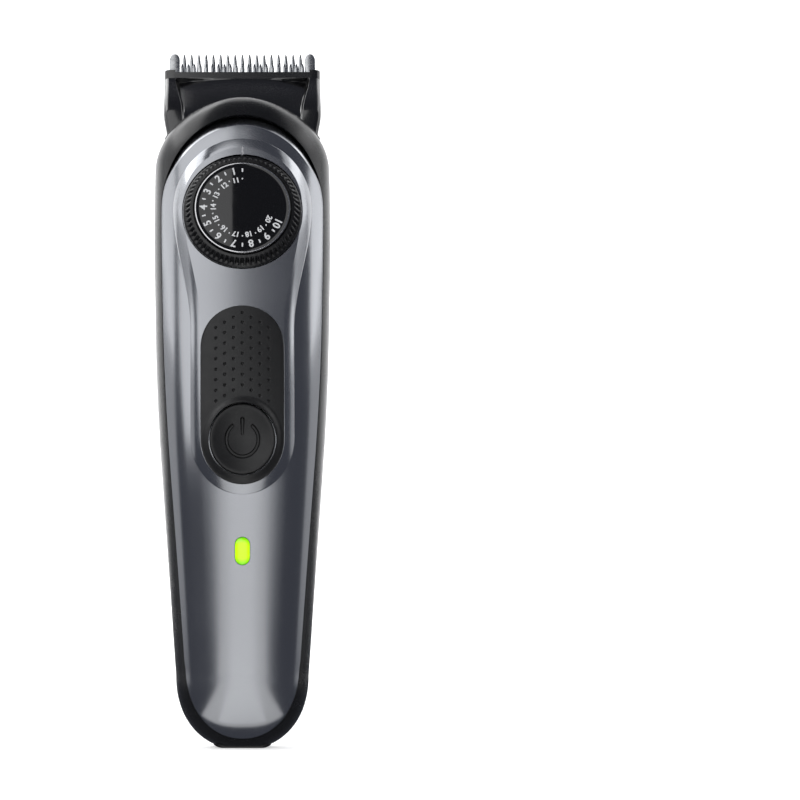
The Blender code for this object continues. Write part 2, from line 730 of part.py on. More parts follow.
def motor_bracket():
    """Frame that clamps the motor: a floor, two side posts, and a bridge with a tube down to the motor."""
    floor = slab(rounded(-16.6, 16.6, -7.4, 7.2, 3.0), 101.4, 103.4)
    posts = [box(s * 15.9 - 0.9, s * 15.9 + 0.9, -3.5, 5.0, 102.4, 142.4) for s in (1, -1)]
    bridge = slab(rounded(-16.8, 16.8, -5.6, 7.6, 3.0), 141.4, 143.2)
    tube = upright([(6.4, MOTOR_HIGH_T + GAP), (6.4, 142.0)], (0.0, MOTOR_Y), 28)
    hole = upright([(4.7, 130.0), (4.7, 145.0)], (0.0, MOTOR_Y), 28)
    lead_gate = box(-5.0, 5.0, -9.0, -3.4, 100.0, 105.0)
    return cut(join(floor, *posts, bridge, tube), hole, lead_gate)


def motor_cradle():
    """Saddle that holds the lower end of the motor on the bracket's floor."""
    ring = slab(flat_sided(MOTOR_RADIUS + 0.8, MOTOR_FLAT + 0.8), 103.4 + GAP, 108.6)
    seat = slab(flat_sided(MOTOR_RADIUS + GAP, MOTOR_FLAT + GAP), 105.6, 112.0)
    lead_way = slab(rounded(-7.4, 7.4, -5.0, 7.0, 2.0), 100.0, 112.0)
    return cut(ring, seat, lead_way)


def neck_seal():
    """Rubber ring that keeps hair out of the crank hole."""
    ring = upright([(4.3, 144.4), (4.6, 144.8), (4.6, 148.0), (4.2, 148.5)], (0.0, MOTOR_Y), 24)
    return cut(ring, upright([(2.7, 140.0), (2.7, 150.0)], (0.0, MOTOR_Y), 24))


# ---------------------------------------------------------------- electrics in the lower handle
CELL_Y = 1.8
CELL_LOW_T = 20.0
CELL_HIGH_T = 70.0
BOARD_Y = -7.6


def battery_cell():
    profile = [(6.3, CELL_LOW_T), (6.9, CELL_LOW_T + 0.6), (6.9, CELL_HIGH_T - 1.4), (6.5, CELL_HIGH_T - 0.8)]
    return upright(profile + [(2.6, CELL_HIGH_T - 0.8), (2.6, CELL_HIGH_T)], (0.0, CELL_Y), 28)


def cell_tab(t, way):
    """Nickel strip from one end of the cell forward to the board."""
    low, high = sorted((t, t + way * 0.3))
    end = box(-2.2, 2.2, BOARD_Y + 1.9, CELL_Y + 3.0, low, high)
    low, high = sorted((t, t - way * 4.0))
    return join(end, box(-2.2, 2.2, BOARD_Y + 1.6, BOARD_Y + 2.0, low, high))


def cell_cradle():
    """Open tray that holds the cell and carries the circuit board."""
    tray = slab(rounded(-9.2, 9.2, -5.9, 8.0, 3.0), 16.6, 73.4)
    bed = upright([(7.2, CELL_LOW_T - 1.0), (7.2, CELL_HIGH_T + 1.0)], (0.0, CELL_Y), 28)
    back_window = box(-5.5, 5.5, 5.0, 12.0, 26.0, 64.0)
    front_window = box(-7.2, 7.2, -9.0, CELL_Y, CELL_LOW_T - 1.0, CELL_HIGH_T + 1.0)
    return cut(tray, bed, back_window, front_window)


def circuit_board():
    return plate(rounded(-9.4, 9.4, 17.0, 82.0, 1.5, 3), BOARD_Y, BOARD_Y + 1.0)


def switch_base():
    base = box(-3.0, 3.0, BOARD_Y - 1.5, BOARD_Y - GAP, SWITCH_T - 3.0, SWITCH_T + 3.0)
    return cut(base, turned([(1.6, -20.0), (1.6, 0.0)], (0.0, SWITCH_T), 16))


def switch_plunger():
    profile = [(1.2, -9.6), (1.3, -9.45), (1.3, BOARD_Y - GAP - BUTTON_TRAVEL - 0.05)]
    return turned(profile, (0.0, SWITCH_T), 16)


def light_chip():
    return box(-0.9, 0.9, BOARD_Y - 1.0, BOARD_Y - GAP, LIGHT_T - 0.8, LIGHT_T + 0.8)


def control_chip():
    return box(-2.6, 2.6, BOARD_Y - 1.3, BOARD_Y - GAP, 28.0, 33.2)


def charging_socket():
    """Inlet whose rim is the handle's foot, rounded up at its two sides into the casing's end."""
    shell = slab(rounded(-7.0, 7.0, -4.9, 4.9, 2.0), 0.0, 11.0)
    for side in (1, -1):
        corner = [(side * 4.95, 0.0), (side * 5.8, 0.16), (side * 6.5, 0.45), (side * 7.2, 0.9)]
        shell = cut(shell, plate([*corner, (side * 7.2, -1.0), (side * 4.95, -1.0)], -8.0, 8.0))
    recess = slab(rounded(-4.8, 4.8, -2.9, 2.9, 1.2), -2.0, 9.4)
    holes = [upright([(1.15, 5.0), (1.15, 20.0)], (s * 2.4, 0.0), 12) for s in (1, -1)]
    return cut(shell, recess, *holes)


def charging_pin(side):
    return upright([(0.5, 4.9), (0.85, 5.3), (0.85, 13.6)], (side * 2.4, 0.0), 12)


def motor_lead(side):
    """Insulated wire from the board up to the motor."""
    route = [(3.0, -6.4, 78.0), (3.3, -6.0, 88.0), (3.7, -4.9, 96.0), (3.8, -4.4, 101.2), (3.8, -4.2, 105.2)]
    return loft([[(x, y, t) for x, y in circle(side * cx, cy, 0.5, 8)] for cx, cy, t in route])


# ---------------------------------------------------------------- detachable cutting head
def head_front(t):
    """Front face of the head: upright behind the tongue, then a hollow sweep up to a straight lip."""
    rise = smooth(157.5, 176.0, min(t, LIP_LOW_T))
    return TONGUE_BACK_Y + GAP + 8.6 * rise


def head_back(t):
    return 14.2 - 1.6 * smooth(158.0, 172.0, t)


def head_section(t):
    """One section of the head: round corners, and a sunken, gently crowned panel in the front."""
    half = HEAD_HALF - 0.9 * (1 - smooth(HEAD_LOW_T, HEAD_LOW_T + 7.0, t))
    front, back = head_front(t), head_back(t)
    hollow = 2.2 * smooth(154.0, 162.0, t) * (1 - smooth(LIP_LOW_T - 0.6, LIP_LOW_T + 0.1, t))
    cheek = 15.2 + 1.9 * smooth(158.0, 171.0, t)
    points = []
    for cx, cy, start in ((half - 2.6, back - 2.6, 0.0), (-half + 2.6, back - 2.6, pi / 2)):
        for i in range(5):
            a = start + pi / 2 * i / 4
            points.append((cx + 2.6 * cos(a), cy + 2.6 * sin(a), t))
    points += [(-half, front + 1.4, t), (-half + 0.5, front + 0.4, t), (-half + 1.4, front, t)]
    for u in (-1.0, -0.93, -0.8, -0.55, -0.25, 0.0, 0.25, 0.55, 0.8, 0.93, 1.0):
        depth = hollow * (0.0 if abs(u) == 1.0 else 1 - 0.9 * (1 - abs(u) ** 2.6))
        points.append((cheek * u, front + depth, t))
    points += [(half - 1.4, front, t), (half - 0.5, front + 0.4, t), (half, front + 1.4, t)]
    return points


def head_housing():
    """Glossy shell of the head, open below for the neck and open behind for the blades."""
    stations = [HEAD_LOW_T, 152.4, 154.3] + [157.0 + 2.45 * i for i in range(5)]
    stations += [168.6, LIP_LOW_T - 0.6, LIP_LOW_T - 0.25, LIP_LOW_T + 0.1, 171.0, HEAD_HIGH_T]
    shell = loft([head_section(t) for t in stations])
    socket = slab(rounded(-16.6, 16.6, -1.2, 12.0, 1.5), 140.0, 158.0)
    driver_room = slab(rounded(-7.5, 7.5, 5.4, 20.0, 1.0), 157.5, 163.0)
    spring_room = slab(rounded(-16.6, 16.6, 5.4, 20.0, 1.0), 162.6, 168.6)
    cutter_bay = box(-17.4, 17.4, 10.3, 30.0, 162.6, 190.0)
    blade_bay = box(-17.9 - GAP, 17.9 + GAP, BLADE_Y - GAP, 30.0, BLADE_LOW_T - GAP, 190.0)
    back_bay = box(-15.2 - GAP, 15.2 + GAP, BLADE_Y - GAP, 30.0, 140.0, BLADE_LOW_T)
    lip_step = box(-17.0, 17.0, -10.0, 20.0, HEAD_HIGH_T - 0.6, 190.0)
    holes = [turned([(1.05, 6.6), (1.05, 14.0)], (s * BLADE_SCREW_X, BLADE_SCREW_T), 16) for s in (1, -1)]
    return cut(shell, socket, driver_room, spring_room, cutter_bay, blade_bay, back_bay, lip_step, *holes)


def head_back_cover():
    """Flush plate that closes the head behind the driver."""
    return plate(rounded(-15.2, 15.2, HEAD_LOW_T + GAP, BLADE_LOW_T - 2 * GAP, 1.0), BLADE_Y, BLADE_Y + 2.1)


def blade_outline(half, low, shoulder, root, tip, pitch, count, end_tooth=None):
    """A comb-shaped blade: plate, then pointed teeth, and wide rounded end teeth if asked."""
    points = [(-half, low), (half, low), (half, shoulder)]
    if end_tooth:
        inner, outer = end_tooth
        points += [(outer, shoulder + 0.9), (outer, tip - 2.0)]
        points += [(outer - 0.45, tip - 0.6), (outer - 1.35, tip)]
        points += [(inner + 0.45, tip - 0.6), (inner, tip - 1.8), (inner, root)]
    for k in range(count - 1, -1, -1):
        centre = (k - (count - 1) / 2) * pitch
        points += [
            (centre + pitch * 0.29, root),
            (centre + pitch * 0.22, root + (tip - root) * 0.55),
            (centre + 0.14, tip - 0.12),
            (centre - 0.14, tip - 0.12),
            (centre - pitch * 0.22, root + (tip - root) * 0.55),
            (centre - pitch * 0.29, root),
        ]
    if end_tooth:
        points += [(-inner, root), (-inner, tip - 1.8), (-inner - 0.45, tip - 0.6), (-outer + 1.35, tip)]
        points += [(-outer + 0.45, tip - 0.6), (-outer, tip - 2.0), (-outer, shoulder + 0.9)]
    points.append((-half, shoulder))
    return points


def fixed_blade():
    end_tooth = (16.05, 18.75)
    outline = blade_outline(
        17.9, BLADE_LOW_T, 172.8, TEETH_ROOT_T, TEETH_TIP_T, FIXED_PITCH, FIXED_TEETH, end_tooth
    )
    holes = [turned([(1.1, 0.0), (1.1, 30.0)], (s * BLADE_SCREW_X, BLADE_SCREW_T), 16) for s in (1, -1)]
    return cut(plate(outline, BLADE_Y, BLADE_Y + 0.7), *holes)


def moving_blade():
    outline = blade_outline(
        15.9, 163.0, CUTTER_ROOT_T, CUTTER_ROOT_T, CUTTER_TIP_T, MOVING_PITCH, MOVING_TEETH
    )
    return plate(outline, BLADE_Y - 0.9, BLADE_Y - GAP)


def blade_driver():
    """Acetal block behind the cutter; its fork stands over the crank pin with room for the whole turn."""
    bar = box(-5.6, 5.6, 5.9, 10.7, 163.3, 167.3)
    riser = box(-5.6, 5.6, 5.9, 7.3, 156.2, 163.8)
    bridge = box(-5.6, 5.6, -0.8, 6.4, 156.2, 157.4)
    prongs = [box(s * 4.8 - 0.8, s * 4.8 + 0.8, -0.8, 5.0, 153.2, 156.8) for s in (1, -1)]
    return join(bar, riser, bridge, *prongs)


def blade_spring(side):
    """Leaf in the head that presses one end of the cutter against the fixed blade."""
    leaf = [(6.9, 9.2), (7.7, 9.2), (9.6, 10.6), (12.6, 10.6)]
    leaf += [(12.6, 10.1), (9.9, 10.1), (7.9, 8.5), (6.9, 8.5)]
    return slab([(side * x, y) for x, y in leaf], 164.3, 166.3)


def blade_screw(side):
    """Pan-head screw that holds the fixed blade to the head."""
    x, t = side * BLADE_SCREW_X, BLADE_SCREW_T
    seat = BLADE_Y + 0.75
    profile = [(0.8, 7.0), (0.8, seat), (1.7, seat + 0.02), (1.7, seat + 0.6), (1.3, seat + 0.9)]
    screw = turned(profile, (x, t), 16)
    slots = [
        box(x - 1.1, x + 1.1, seat + 0.5, seat + 2.0, t - 0.2, t + 0.2),
        box(x - 0.2, x + 0.2, seat + 0.5, seat + 2.0, t - 1.1, t + 1.1),
    ]
    return cut(screw, *slots)


# ---------------------------------------------------------------- assembly
def clear_scene():
    for obj in list(bpy.data.objects):
        bpy.data.objects.remove(obj)


def build_casing():
    add("rear_housing", rear_housing(), "black_satin", bent)
    add("front_cover", front_cover(), "silver_grey", bent)
    add("rear_grip", rear_grip(), "soft_black", bent)
    add("thumb_pad", thumb_pad(), "soft_black", bent)
    add("light_lens", light_lens(), "green_light", lower)


def build_electrics():
    add("battery_cell", battery_cell(), "cell_wrap", lower)
    add("cell_tab_top", cell_tab(CELL_HIGH_T + 0.35, 1), "nickel", lower)
    add("cell_tab_bottom", cell_tab(CELL_LOW_T - 0.35, -1), "nickel", lower)
    add("cell_cradle", cell_cradle(), "inner_grey", lower)
    add("circuit_board", circuit_board(), "board_green", lower)
    add("switch_base", switch_base(), "black_satin", lower)
    add("light_chip", light_chip(), "white_acetal", lower)
    add("control_chip", control_chip(), "black_satin", lower)
    add("charging_socket", charging_socket(), "black_satin", lower)
    add("charging_pin_right", charging_pin(1), "brass", lower)
    add("charging_pin_left", charging_pin(-1), "brass", lower)
    add("motor_lead_red", motor_lead(1), "lead_red", bent)
    add("motor_lead_black", motor_lead(-1), "rubber", bent)


def build_button():
    axis = pivot("power_button_axis", bent, 0.0, 0.0, BUTTON_T)
    add("power_button", power_button(), "soft_black", bent, axis)
    plunger_axis = pivot("switch_plunger_axis", lower, 0.0, 0.0, SWITCH_T)
    add("switch_plunger", switch_plunger(), "white_acetal", lower, plunger_axis)


def build_dial():
    axis = pivot("dial_axis", neck, 0.0, DIAL_FLOOR_Y, DIAL_T)
    add("dial_knob", dial_knob(), "black_satin", neck, axis)
    add("dial_face", dial_face(), "black_gloss", neck, axis)
    add("dial_spindle", dial_spindle(), "steel", neck, axis)
    add("dial_pinion", pinion(), "white_acetal", neck, axis)
    add("dial_bush", dial_bush(), "brass", neck)
    add("detent_spring", detent_spring(), "steel", neck)


def build_comb_drive():
    axis = pivot("comb_slide_axis", neck, 0.0, back_depth(DIAL_T), DIAL_T)
    add("rack_yoke", rack_yoke(), "white_acetal", neck, axis)
    add("comb_carriage", comb_carriage(), "black_satin", neck, axis)
    for name, side in (("right", 1), ("left", -1)):
        add(f"carriage_screw_{name}", carriage_screw(side), "steel", neck, axis)


def build_motor():
    add("motor_can", motor_can(), "nickel", neck)
    add("motor_end_cap", motor_end_cap(), "white_acetal", neck)
    add("motor_bracket", motor_bracket(), "inner_grey", neck)
    add("motor_cradle", motor_cradle(), "inner_grey", neck)
    add("neck_seal", neck_seal(), "rubber", neck)
    axis = pivot("motor_axis", neck, 0.0, MOTOR_Y, MOTOR_HIGH_T)
    add("motor_shaft", motor_shaft(), "steel", neck, axis)
    add("eccentric_cam", eccentric_cam(), "white_acetal", neck, axis)


def build_head():
    axis = pivot("head_axis", neck, 0.0, MOTOR_Y, NECK_TOP_T)
    add("head_housing", head_housing(), "black_gloss", neck, axis)
    add("head_back_cover", head_back_cover(), "black_satin", neck, axis)
    add("fixed_blade", fixed_blade(), "steel", neck, axis)
    for name, side in (("right", 1), ("left", -1)):
        add(f"blade_screw_{name}", blade_screw(side), "steel", neck, axis)
        add(f"blade_spring_{name}", blade_spring(side), "steel", neck, axis)
    cutter_axis = pivot("cutter_axis", neck, 0.0, 11.3, 172.0)
    add("moving_blade", moving_blade(), "steel", neck, cutter_axis)
    add("blade_driver", blade_driver(), "white_acetal", neck, cutter_axis)


clear_scene()
build_casing()
build_electrics()
build_button()
build_dial()
build_comb_drive()
build_motor()
build_head()
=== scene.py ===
"""Looks of the cordless beard trimmer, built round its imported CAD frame.

Pieces are drawn straight, in millimetres (x across, y front to back, t up the handle), and then go to their
place as in the CAD: lower pieces stay, neck pieces turn rigidly with the leaning neck, bent pieces follow
the curve between them.
"""

import json
from math import cos, hypot, pi, radians, sin

import bmesh
import bpy
from mathutils import Matrix, Vector


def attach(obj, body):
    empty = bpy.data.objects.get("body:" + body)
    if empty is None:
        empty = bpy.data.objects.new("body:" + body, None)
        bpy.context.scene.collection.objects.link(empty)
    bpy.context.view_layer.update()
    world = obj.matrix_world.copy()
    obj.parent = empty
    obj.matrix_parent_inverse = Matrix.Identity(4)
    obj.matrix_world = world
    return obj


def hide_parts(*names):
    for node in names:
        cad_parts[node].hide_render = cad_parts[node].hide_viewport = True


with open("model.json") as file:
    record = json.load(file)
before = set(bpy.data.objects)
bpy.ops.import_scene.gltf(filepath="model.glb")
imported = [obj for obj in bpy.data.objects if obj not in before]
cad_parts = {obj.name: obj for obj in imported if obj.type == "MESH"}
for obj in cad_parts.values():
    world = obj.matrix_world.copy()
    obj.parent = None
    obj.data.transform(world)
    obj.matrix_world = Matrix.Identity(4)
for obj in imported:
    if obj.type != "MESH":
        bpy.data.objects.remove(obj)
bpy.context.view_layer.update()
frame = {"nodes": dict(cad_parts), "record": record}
MM = 0.001

# ---------------------------------------------------------------- the CAD's driving dimensions (millimetres)
LEAN = radians(13.0)
BEND_START, BEND_END = 60.0, 100.0
BEND_RADIUS = (BEND_END - BEND_START) / LEAN
FOOT_FORWARD = 10.132
GAP = 0.3
SEAM = 0.12  # visible gap between casing parts
WALL = 2.0
SECTION_POWER = 2.6  # how square the casing's cross-section is
BASE_T = 0.5
SHOULDER_T, DOME_RISE, DOME_EDGE_Y = 143.0, 17.9, -5.2
TONGUE_BACK_Y, NECK_TOP_T = -3.4, 151.0
END_LENGTH = 17.5
COVER_LOW_T, COVER_LOW_LENGTH = 20.0, 17.6
COVER_HIGH_T, COVER_HIGH_LENGTH, COVER_HIGH_HALF = 131.3, 22.3, 19.9
COVER_BACK_Y = -6.2
KEYHOLE_TOP_T, KEYHOLE_TOP_HALF, KEYHOLE_TOP_LENGTH = 130.0, 17.0, 16.8
KEYHOLE_LOW_T, KEYHOLE_LOW_HALF = 73.4, 12.5
PANEL_RISE, PANEL_CROWN, PANEL_BORDER = 0.75, 0.7, 2.5
DIAL_T, DIAL_RADIUS, DIAL_FACE_RADIUS, DIAL_FLOOR_Y = 127.7, 14.4, 11.7, -14.0
PAD_HALF, PAD_LOW_T, PAD_HIGH_T = 10.0, 63.2, 103.6
BUTTON_T, BUTTON_RADIUS = 73.1, 7.9
LIGHT_T, LIGHT_HALF_WIDTH, LIGHT_HALF_LENGTH = 47.4, 1.75, 3.3
MOTOR_Y = 1.0
HEAD_HALF, HEAD_LOW_T, HEAD_HIGH_T, LIP_LOW_T = 19.75, NECK_TOP_T + GAP, 172.2, 169.9
TEETH_TIP_T, TEETH_ROOT_T, FIXED_PITCH, FIXED_TEETH = 180.1, 173.7, 1.86, 17
CUTTER_TIP_T, CUTTER_ROOT_T, MOVING_PITCH, MOVING_TEETH = 177.1, 173.2, 1.54, 21
BLADE_LOW_T, BLADE_Y, BLADE_SCREW_X, BLADE_SCREW_T = 158.0, 11.9, 14.0, 160.2


# ---------------------------------------------------------------- placing
def lower(x, y, t):
    return Vector((x, y - FOOT_FORWARD, t))


def neck(x, y, t):
    y_out = BEND_RADIUS - (BEND_RADIUS - y) * cos(LEAN) + (t - BEND_END) * sin(LEAN)
    z_out = BEND_START + (BEND_RADIUS - y) * sin(LEAN) + (t - BEND_END) * cos(LEAN)
    return lower(x, y_out, z_out)


def bent(x, y, t):
    if t <= BEND_START:
        return lower(x, y, t)
    if t >= BEND_END:
        return neck(x, y, t)
    angle = (t - BEND_START) / BEND_RADIUS
    reach = BEND_RADIUS - y
    return lower(x, BEND_RADIUS - reach * cos(angle), BEND_START + reach * sin(angle))


# ---------------------------------------------------------------- shape of the handle
def smooth(a, b, value):
    u = min(1.0, max(0.0, (value - a) / (b - a)))
    return u * u * (3 - 2 * u)


def mix(a, b, share):
    return a * (1 - share) + b * share


def arch(share, power):
    return max(0.0, 1.0 - min(1.0, share) ** power) ** (1.0 / power)


def side_half(t):
    lower_part = 16.1 + (t - END_LENGTH) * 0.072
    belly = 21.85 - 0.00075 * (t - 131.0) ** 2
    return mix(lower_part, belly, smooth(70.0, 112.0, t))


def body_half(t):
    if t < END_LENGTH:
        return side_half(END_LENGTH) * arch((END_LENGTH - t) / (END_LENGTH + 0.6), 2.2)
    if t > SHOULDER_T:
        return side_half(SHOULDER_T) * arch((t - SHOULDER_T) / DOME_RISE, 1.95)
    return side_half(t)


def front_depth(t):
    if t > SHOULDER_T:
        share = arch((t - SHOULDER_T) / DOME_RISE, 2.2)
        return mix(-DOME_EDGE_Y, 0.55 * side_half(SHOULDER_T) + 2.4, share)
    return 0.55 * body_half(t) + 2.4


def back_depth(t):
    return 0.55 * body_half(min(t, SHOULDER_T)) + 2.4 + 0.6 * smooth(90.0, 112.0, t)


def skin_y(x, t):
    """Front skin of the casing."""
    return -front_depth(t) * arch(abs(x) / max(body_half(t), 0.1), SECTION_POWER)


def cover_half(t):
    if t < COVER_LOW_T:
        return 13.7 * arch((COVER_LOW_T - t) / COVER_LOW_LENGTH, 2.1)
    if t > COVER_HIGH_T:
        return COVER_HIGH_HALF * arch((t - COVER_HIGH_T) / COVER_HIGH_LENGTH, 1.9)
    return body_half(t) - 2.4 + 0.45 * smooth(40.0, 120.0, t)


def keyhole_half(t):
    if t > KEYHOLE_TOP_T:
        return KEYHOLE_TOP_HALF * arch((t - KEYHOLE_TOP_T) / KEYHOLE_TOP_LENGTH, 2.0)
    if t < KEYHOLE_LOW_T:
        return KEYHOLE_LOW_HALF * arch((KEYHOLE_LOW_T - t) / KEYHOLE_LOW_HALF, 2.0)
    return mix(KEYHOLE_LOW_HALF, KEYHOLE_TOP_HALF, smooth(98.0, KEYHOLE_TOP_T, t))


def panel_y(x, t):
    return -front_depth(t) - PANEL_RISE + PANEL_CROWN * (x / KEYHOLE_TOP_HALF) ** 2


# ---------------------------------------------------------------- mesh building
def loft(rings):
    """A closed body through rings of the same number of points, capped at both ends."""
    bm = bmesh.new()
    made = [[bm.verts.new(p) for p in ring] for ring in rings]
    for low, high in zip(made, made[1:]):
        for i in range(len(low)):
            j = (i + 1) % len(low)
            bm.faces.new((low[i], low[j], high[j], high[i]))
    bm.faces.new(made[0][::-1])
    bm.faces.new(made[-1])
    bmesh.ops.recalc_face_normals(bm, faces=bm.faces)
    return bm


def plate(points, y0, y1):
    return loft([[(x, y, t) for x, t in points] for y in (y0, y1)])


def slab(points, t0, t1):
    return loft([[(x, y, t) for x, y in points] for t in (t0, t1)])


def box(x0, x1, y0, y1, t0, t1):
    return slab([(x0, y0), (x1, y0), (x1, y1), (x0, y1)], t0, t1)


def circle(cx, cy, radius, count=24, start=0.0):
    angles = [start + 2 * pi * i / count for i in range(count)]
    return [(cx + radius * cos(a), cy + radius * sin(a)) for a in angles]


def turned(profile, centre, count=96):
    """A body turned about the front-to-back line through centre (x, t); profile holds (radius, y)."""
    return loft([[(x, y, t) for x, t in circle(*centre, max(r, 0.02), count)] for r, y in profile])


def upright(profile, centre, count=64):
    return loft([[(x, y, t) for x, y in circle(*centre, max(r, 0.02), count)] for r, t in profile])


def pill(half_width, low, high, count=32):
    right = [pi * i / count for i in range(count + 1)]
    points = [(half_width * cos(a), high - half_width + half_width * sin(a)) for a in right]
    return points + [(-half_width * cos(a), low + half_width - half_width * sin(a)) for a in right]


def rounded(x0, x1, y0, y1, radius, count=6):
    points = []
    corners = ((x1, y1, 0), (x0, y1, 1), (x0, y0, 2), (x1, y0, 3))
    for cx, cy, turn in corners:
        ax = cx - radius if cx == x1 else cx + radius
        ay = cy - radius if cy == y1 else cy + radius
        for i in range(count + 1):
            a = pi / 2 * (turn + i / count)
            points.append((ax + radius * cos(a), ay + radius * sin(a)))
    return points


def combine(first, second, operation="DIFFERENCE"):
    holders = []
    for bm in (first, second):
        mesh = bpy.data.meshes.new("shape")
        bm.to_mesh(mesh)
        bm.free()
        holder = bpy.data.objects.new("shape", mesh)
        bpy.context.scene.collection.objects.link(holder)
        holders.append(holder)
    modifier = holders[0].modifiers.new("cut", "BOOLEAN")
    modifier.operation = operation
    modifier.solver = "EXACT"
    modifier.object = holders[1]
    graph = bpy.context.evaluated_depsgraph_get()
    result = bmesh.new()
    result.from_mesh(holders[0].evaluated_get(graph).to_mesh())
    for holder in holders:
        mesh = holder.data
        bpy.data.objects.remove(holder)
        bpy.data.meshes.remove(mesh)
    return result


def cut(first, *tools):
    for tool in tools:
        first = combine(first, tool)
    return first


def join(first, *others):
    for other in others:
        first = combine(first, other, "UNION")
    return first


def outline(half_at, low, high, steps):
    """Closed outline of a half-width law, running up the right side, as (x, t)."""
    stations = [mix(low, high, 0.5 - 0.5 * cos(pi * i / steps)) for i in range(steps + 1)]
    right = [(half_at(t), t) for t in stations]
    points = []
    for p in right + [(-x, t) for x, t in reversed(right)]:
        if not points or hypot(p[0] - points[-1][0], p[1] - points[-1][1]) > 0.04:
            points.append(p)
    if hypot(points[0][0] - points[-1][0], points[0][1] - points[-1][1]) < 0.04:
        points.pop()
    return points


def grown(points, amount):
    moved = []
    for i in range(len(points)):
        before, here, after = (Vector(points[(i + k) % len(points)]) for k in (-1, 0, 1))
        along = ((here - before).normalized() + (after - here).normalized()).normalized()
        moved.append((here.x + along.y * amount, here.y - along.x * amount))
    return moved


def dished(points, axis_low, axis_high, border, rows, front, back):
    """A shell over an outline: loops step in from the edge, then run to the line between the two axis ends.

    border(t) is the width of the edge zone, whose inner side is a crease; front(x, t, inset, width) is the
    outer face and back(x, t) the inner one.
    """
    bm = bmesh.new()
    spans = []
    for x, t in points:
        centre = (0.0, min(axis_high, max(axis_low, t)))
        spans.append((x, t, centre, hypot(x - centre[0], t - centre[1]), border(t)))
    steps = [("zone", s) for s in (0.0, 0.02, 0.05, 0.1, 0.4, 0.7, 1.0, 1.06)]
    steps += [("reach", (i + 1) / rows) for i in range(rows)]
    loops = [[bm.verts.new((x, back(x, t), t)) for x, t in points]]
    for kind, value in steps:
        loop = []
        for x, t, centre, reach, width in spans:
            inset = value * width if kind == "zone" else mix(1.06 * width, reach, value)
            share = inset / reach
            px, pt = mix(x, centre[0], share), mix(t, centre[1], share)
            loop.append(bm.verts.new((px, front(px, pt, inset, width), pt)))
        loops.append(loop)
    count = len(points)
    for outer, inner in zip(loops, loops[1:]):
        for i in range(count):
            j = (i + 1) % count
            bm.faces.new((outer[i], outer[j], inner[j], inner[i]))
    bm.faces.new(loops[0][::-1])
    bmesh.ops.remove_doubles(bm, verts=bm.verts, dist=0.003)
    bmesh.ops.dissolve_degenerate(bm, edges=bm.edges, dist=0.002)
    bmesh.ops.recalc_face_normals(bm, faces=bm.faces)
    return bm


# ---------------------------------------------------------------- objects
def place(name, bm, finish, where, body, replaces=(), sharp=32):
    """Makes the piece, in its place, riding on its body."""
    bmesh.ops.remove_doubles(bm, verts=bm.verts, dist=0.003)
    bmesh.ops.dissolve_degenerate(bm, edges=bm.edges, dist=0.002)
    for v in bm.verts:
        v.co = where(*v.co) * MM
    mesh = bpy.data.meshes.new(name)
    bm.to_mesh(mesh)
    bm.free()
    mesh.shade_smooth()
    mesh.set_sharp_from_angle(angle=radians(sharp))
    mesh.materials.append(finish)
    piece = bpy.data.objects.new(name, mesh)
    bpy.context.scene.collection.objects.link(piece)
    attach(piece, body)
    if replaces:
        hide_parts(*replaces)
    return piece


# ---------------------------------------------------------------- materials
def material(name, colour, roughness, metallic=0.0, coat=0.0, coat_roughness=0.05, specular=0.5):
    made = bpy.data.materials.new(name)
    made.use_nodes = True
    shader = made.node_tree.nodes["Principled BSDF"]
    shader.inputs["Base Color"].default_value = (*colour, 1.0)
    shader.inputs["Roughness"].default_value = roughness
    shader.inputs["Metallic"].default_value = metallic
    shader.inputs["Coat Weight"].default_value = coat
    shader.inputs["Coat Roughness"].default_value = coat_roughness
    shader.inputs["Specular IOR Level"].default_value = specular
    return made


def noise(made, scale, stretch=(1, 1, 1), detail=3.0):
    """A noise field in object coordinates; scale is in waves per metre."""
    nodes, links = made.node_tree.nodes, made.node_tree.links
    place_node = nodes.new("ShaderNodeTexCoord")
    mapping = nodes.new("ShaderNodeMapping")
    mapping.inputs["Scale"].default_value = stretch
    field = nodes.new("ShaderNodeTexNoise")
    field.inputs["Scale"].default_value = scale
    field.inputs["Detail"].default_value = detail
    links.new(place_node.outputs["Object"], mapping.inputs["Vector"])
    links.new(mapping.outputs["Vector"], field.inputs["Vector"])
    return field


def vary(made, socket, field, low, high):
    """The socket follows the field between two numbers."""
    nodes, links = made.node_tree.nodes, made.node_tree.links
    span = nodes.new("ShaderNodeMapRange")
    span.inputs["From Min"].default_value = 0.3
    span.inputs["From Max"].default_value = 0.7
    span.inputs["To Min"].default_value = low
    span.inputs["To Max"].default_value = high
    links.new(field.outputs["Fac"], span.inputs["Value"])
    links.new(span.outputs["Result"], nodes["Principled BSDF"].inputs[socket])


def tint(made, field, first, second):
    """The base colour runs between two colours with the field."""
    nodes, links = made.node_tree.nodes, made.node_tree.links
    ramp = nodes.new("ShaderNodeValToRGB")
    ramp.color_ramp.elements[0].position = 0.35
    ramp.color_ramp.elements[0].color = (*first, 1.0)
    ramp.color_ramp.elements[1].position = 0.65
    ramp.color_ramp.elements[1].color = (*second, 1.0)
    links.new(field.outputs["Fac"], ramp.inputs["Fac"])
    links.new(ramp.outputs["Color"], nodes["Principled BSDF"].inputs["Base Color"])


def grain(made, field, height, strength=1.0):
    """Bump of this height, in millimetres, from the field."""
    nodes, links = made.node_tree.nodes, made.node_tree.links
    bump = nodes.new("ShaderNodeBump")
    bump.inputs["Strength"].default_value = strength
    bump.inputs["Distance"].default_value = height * MM
    links.new(field.outputs["Fac"], bump.inputs["Height"])
    links.new(bump.outputs["Normal"], nodes["Principled BSDF"].inputs["Normal"])


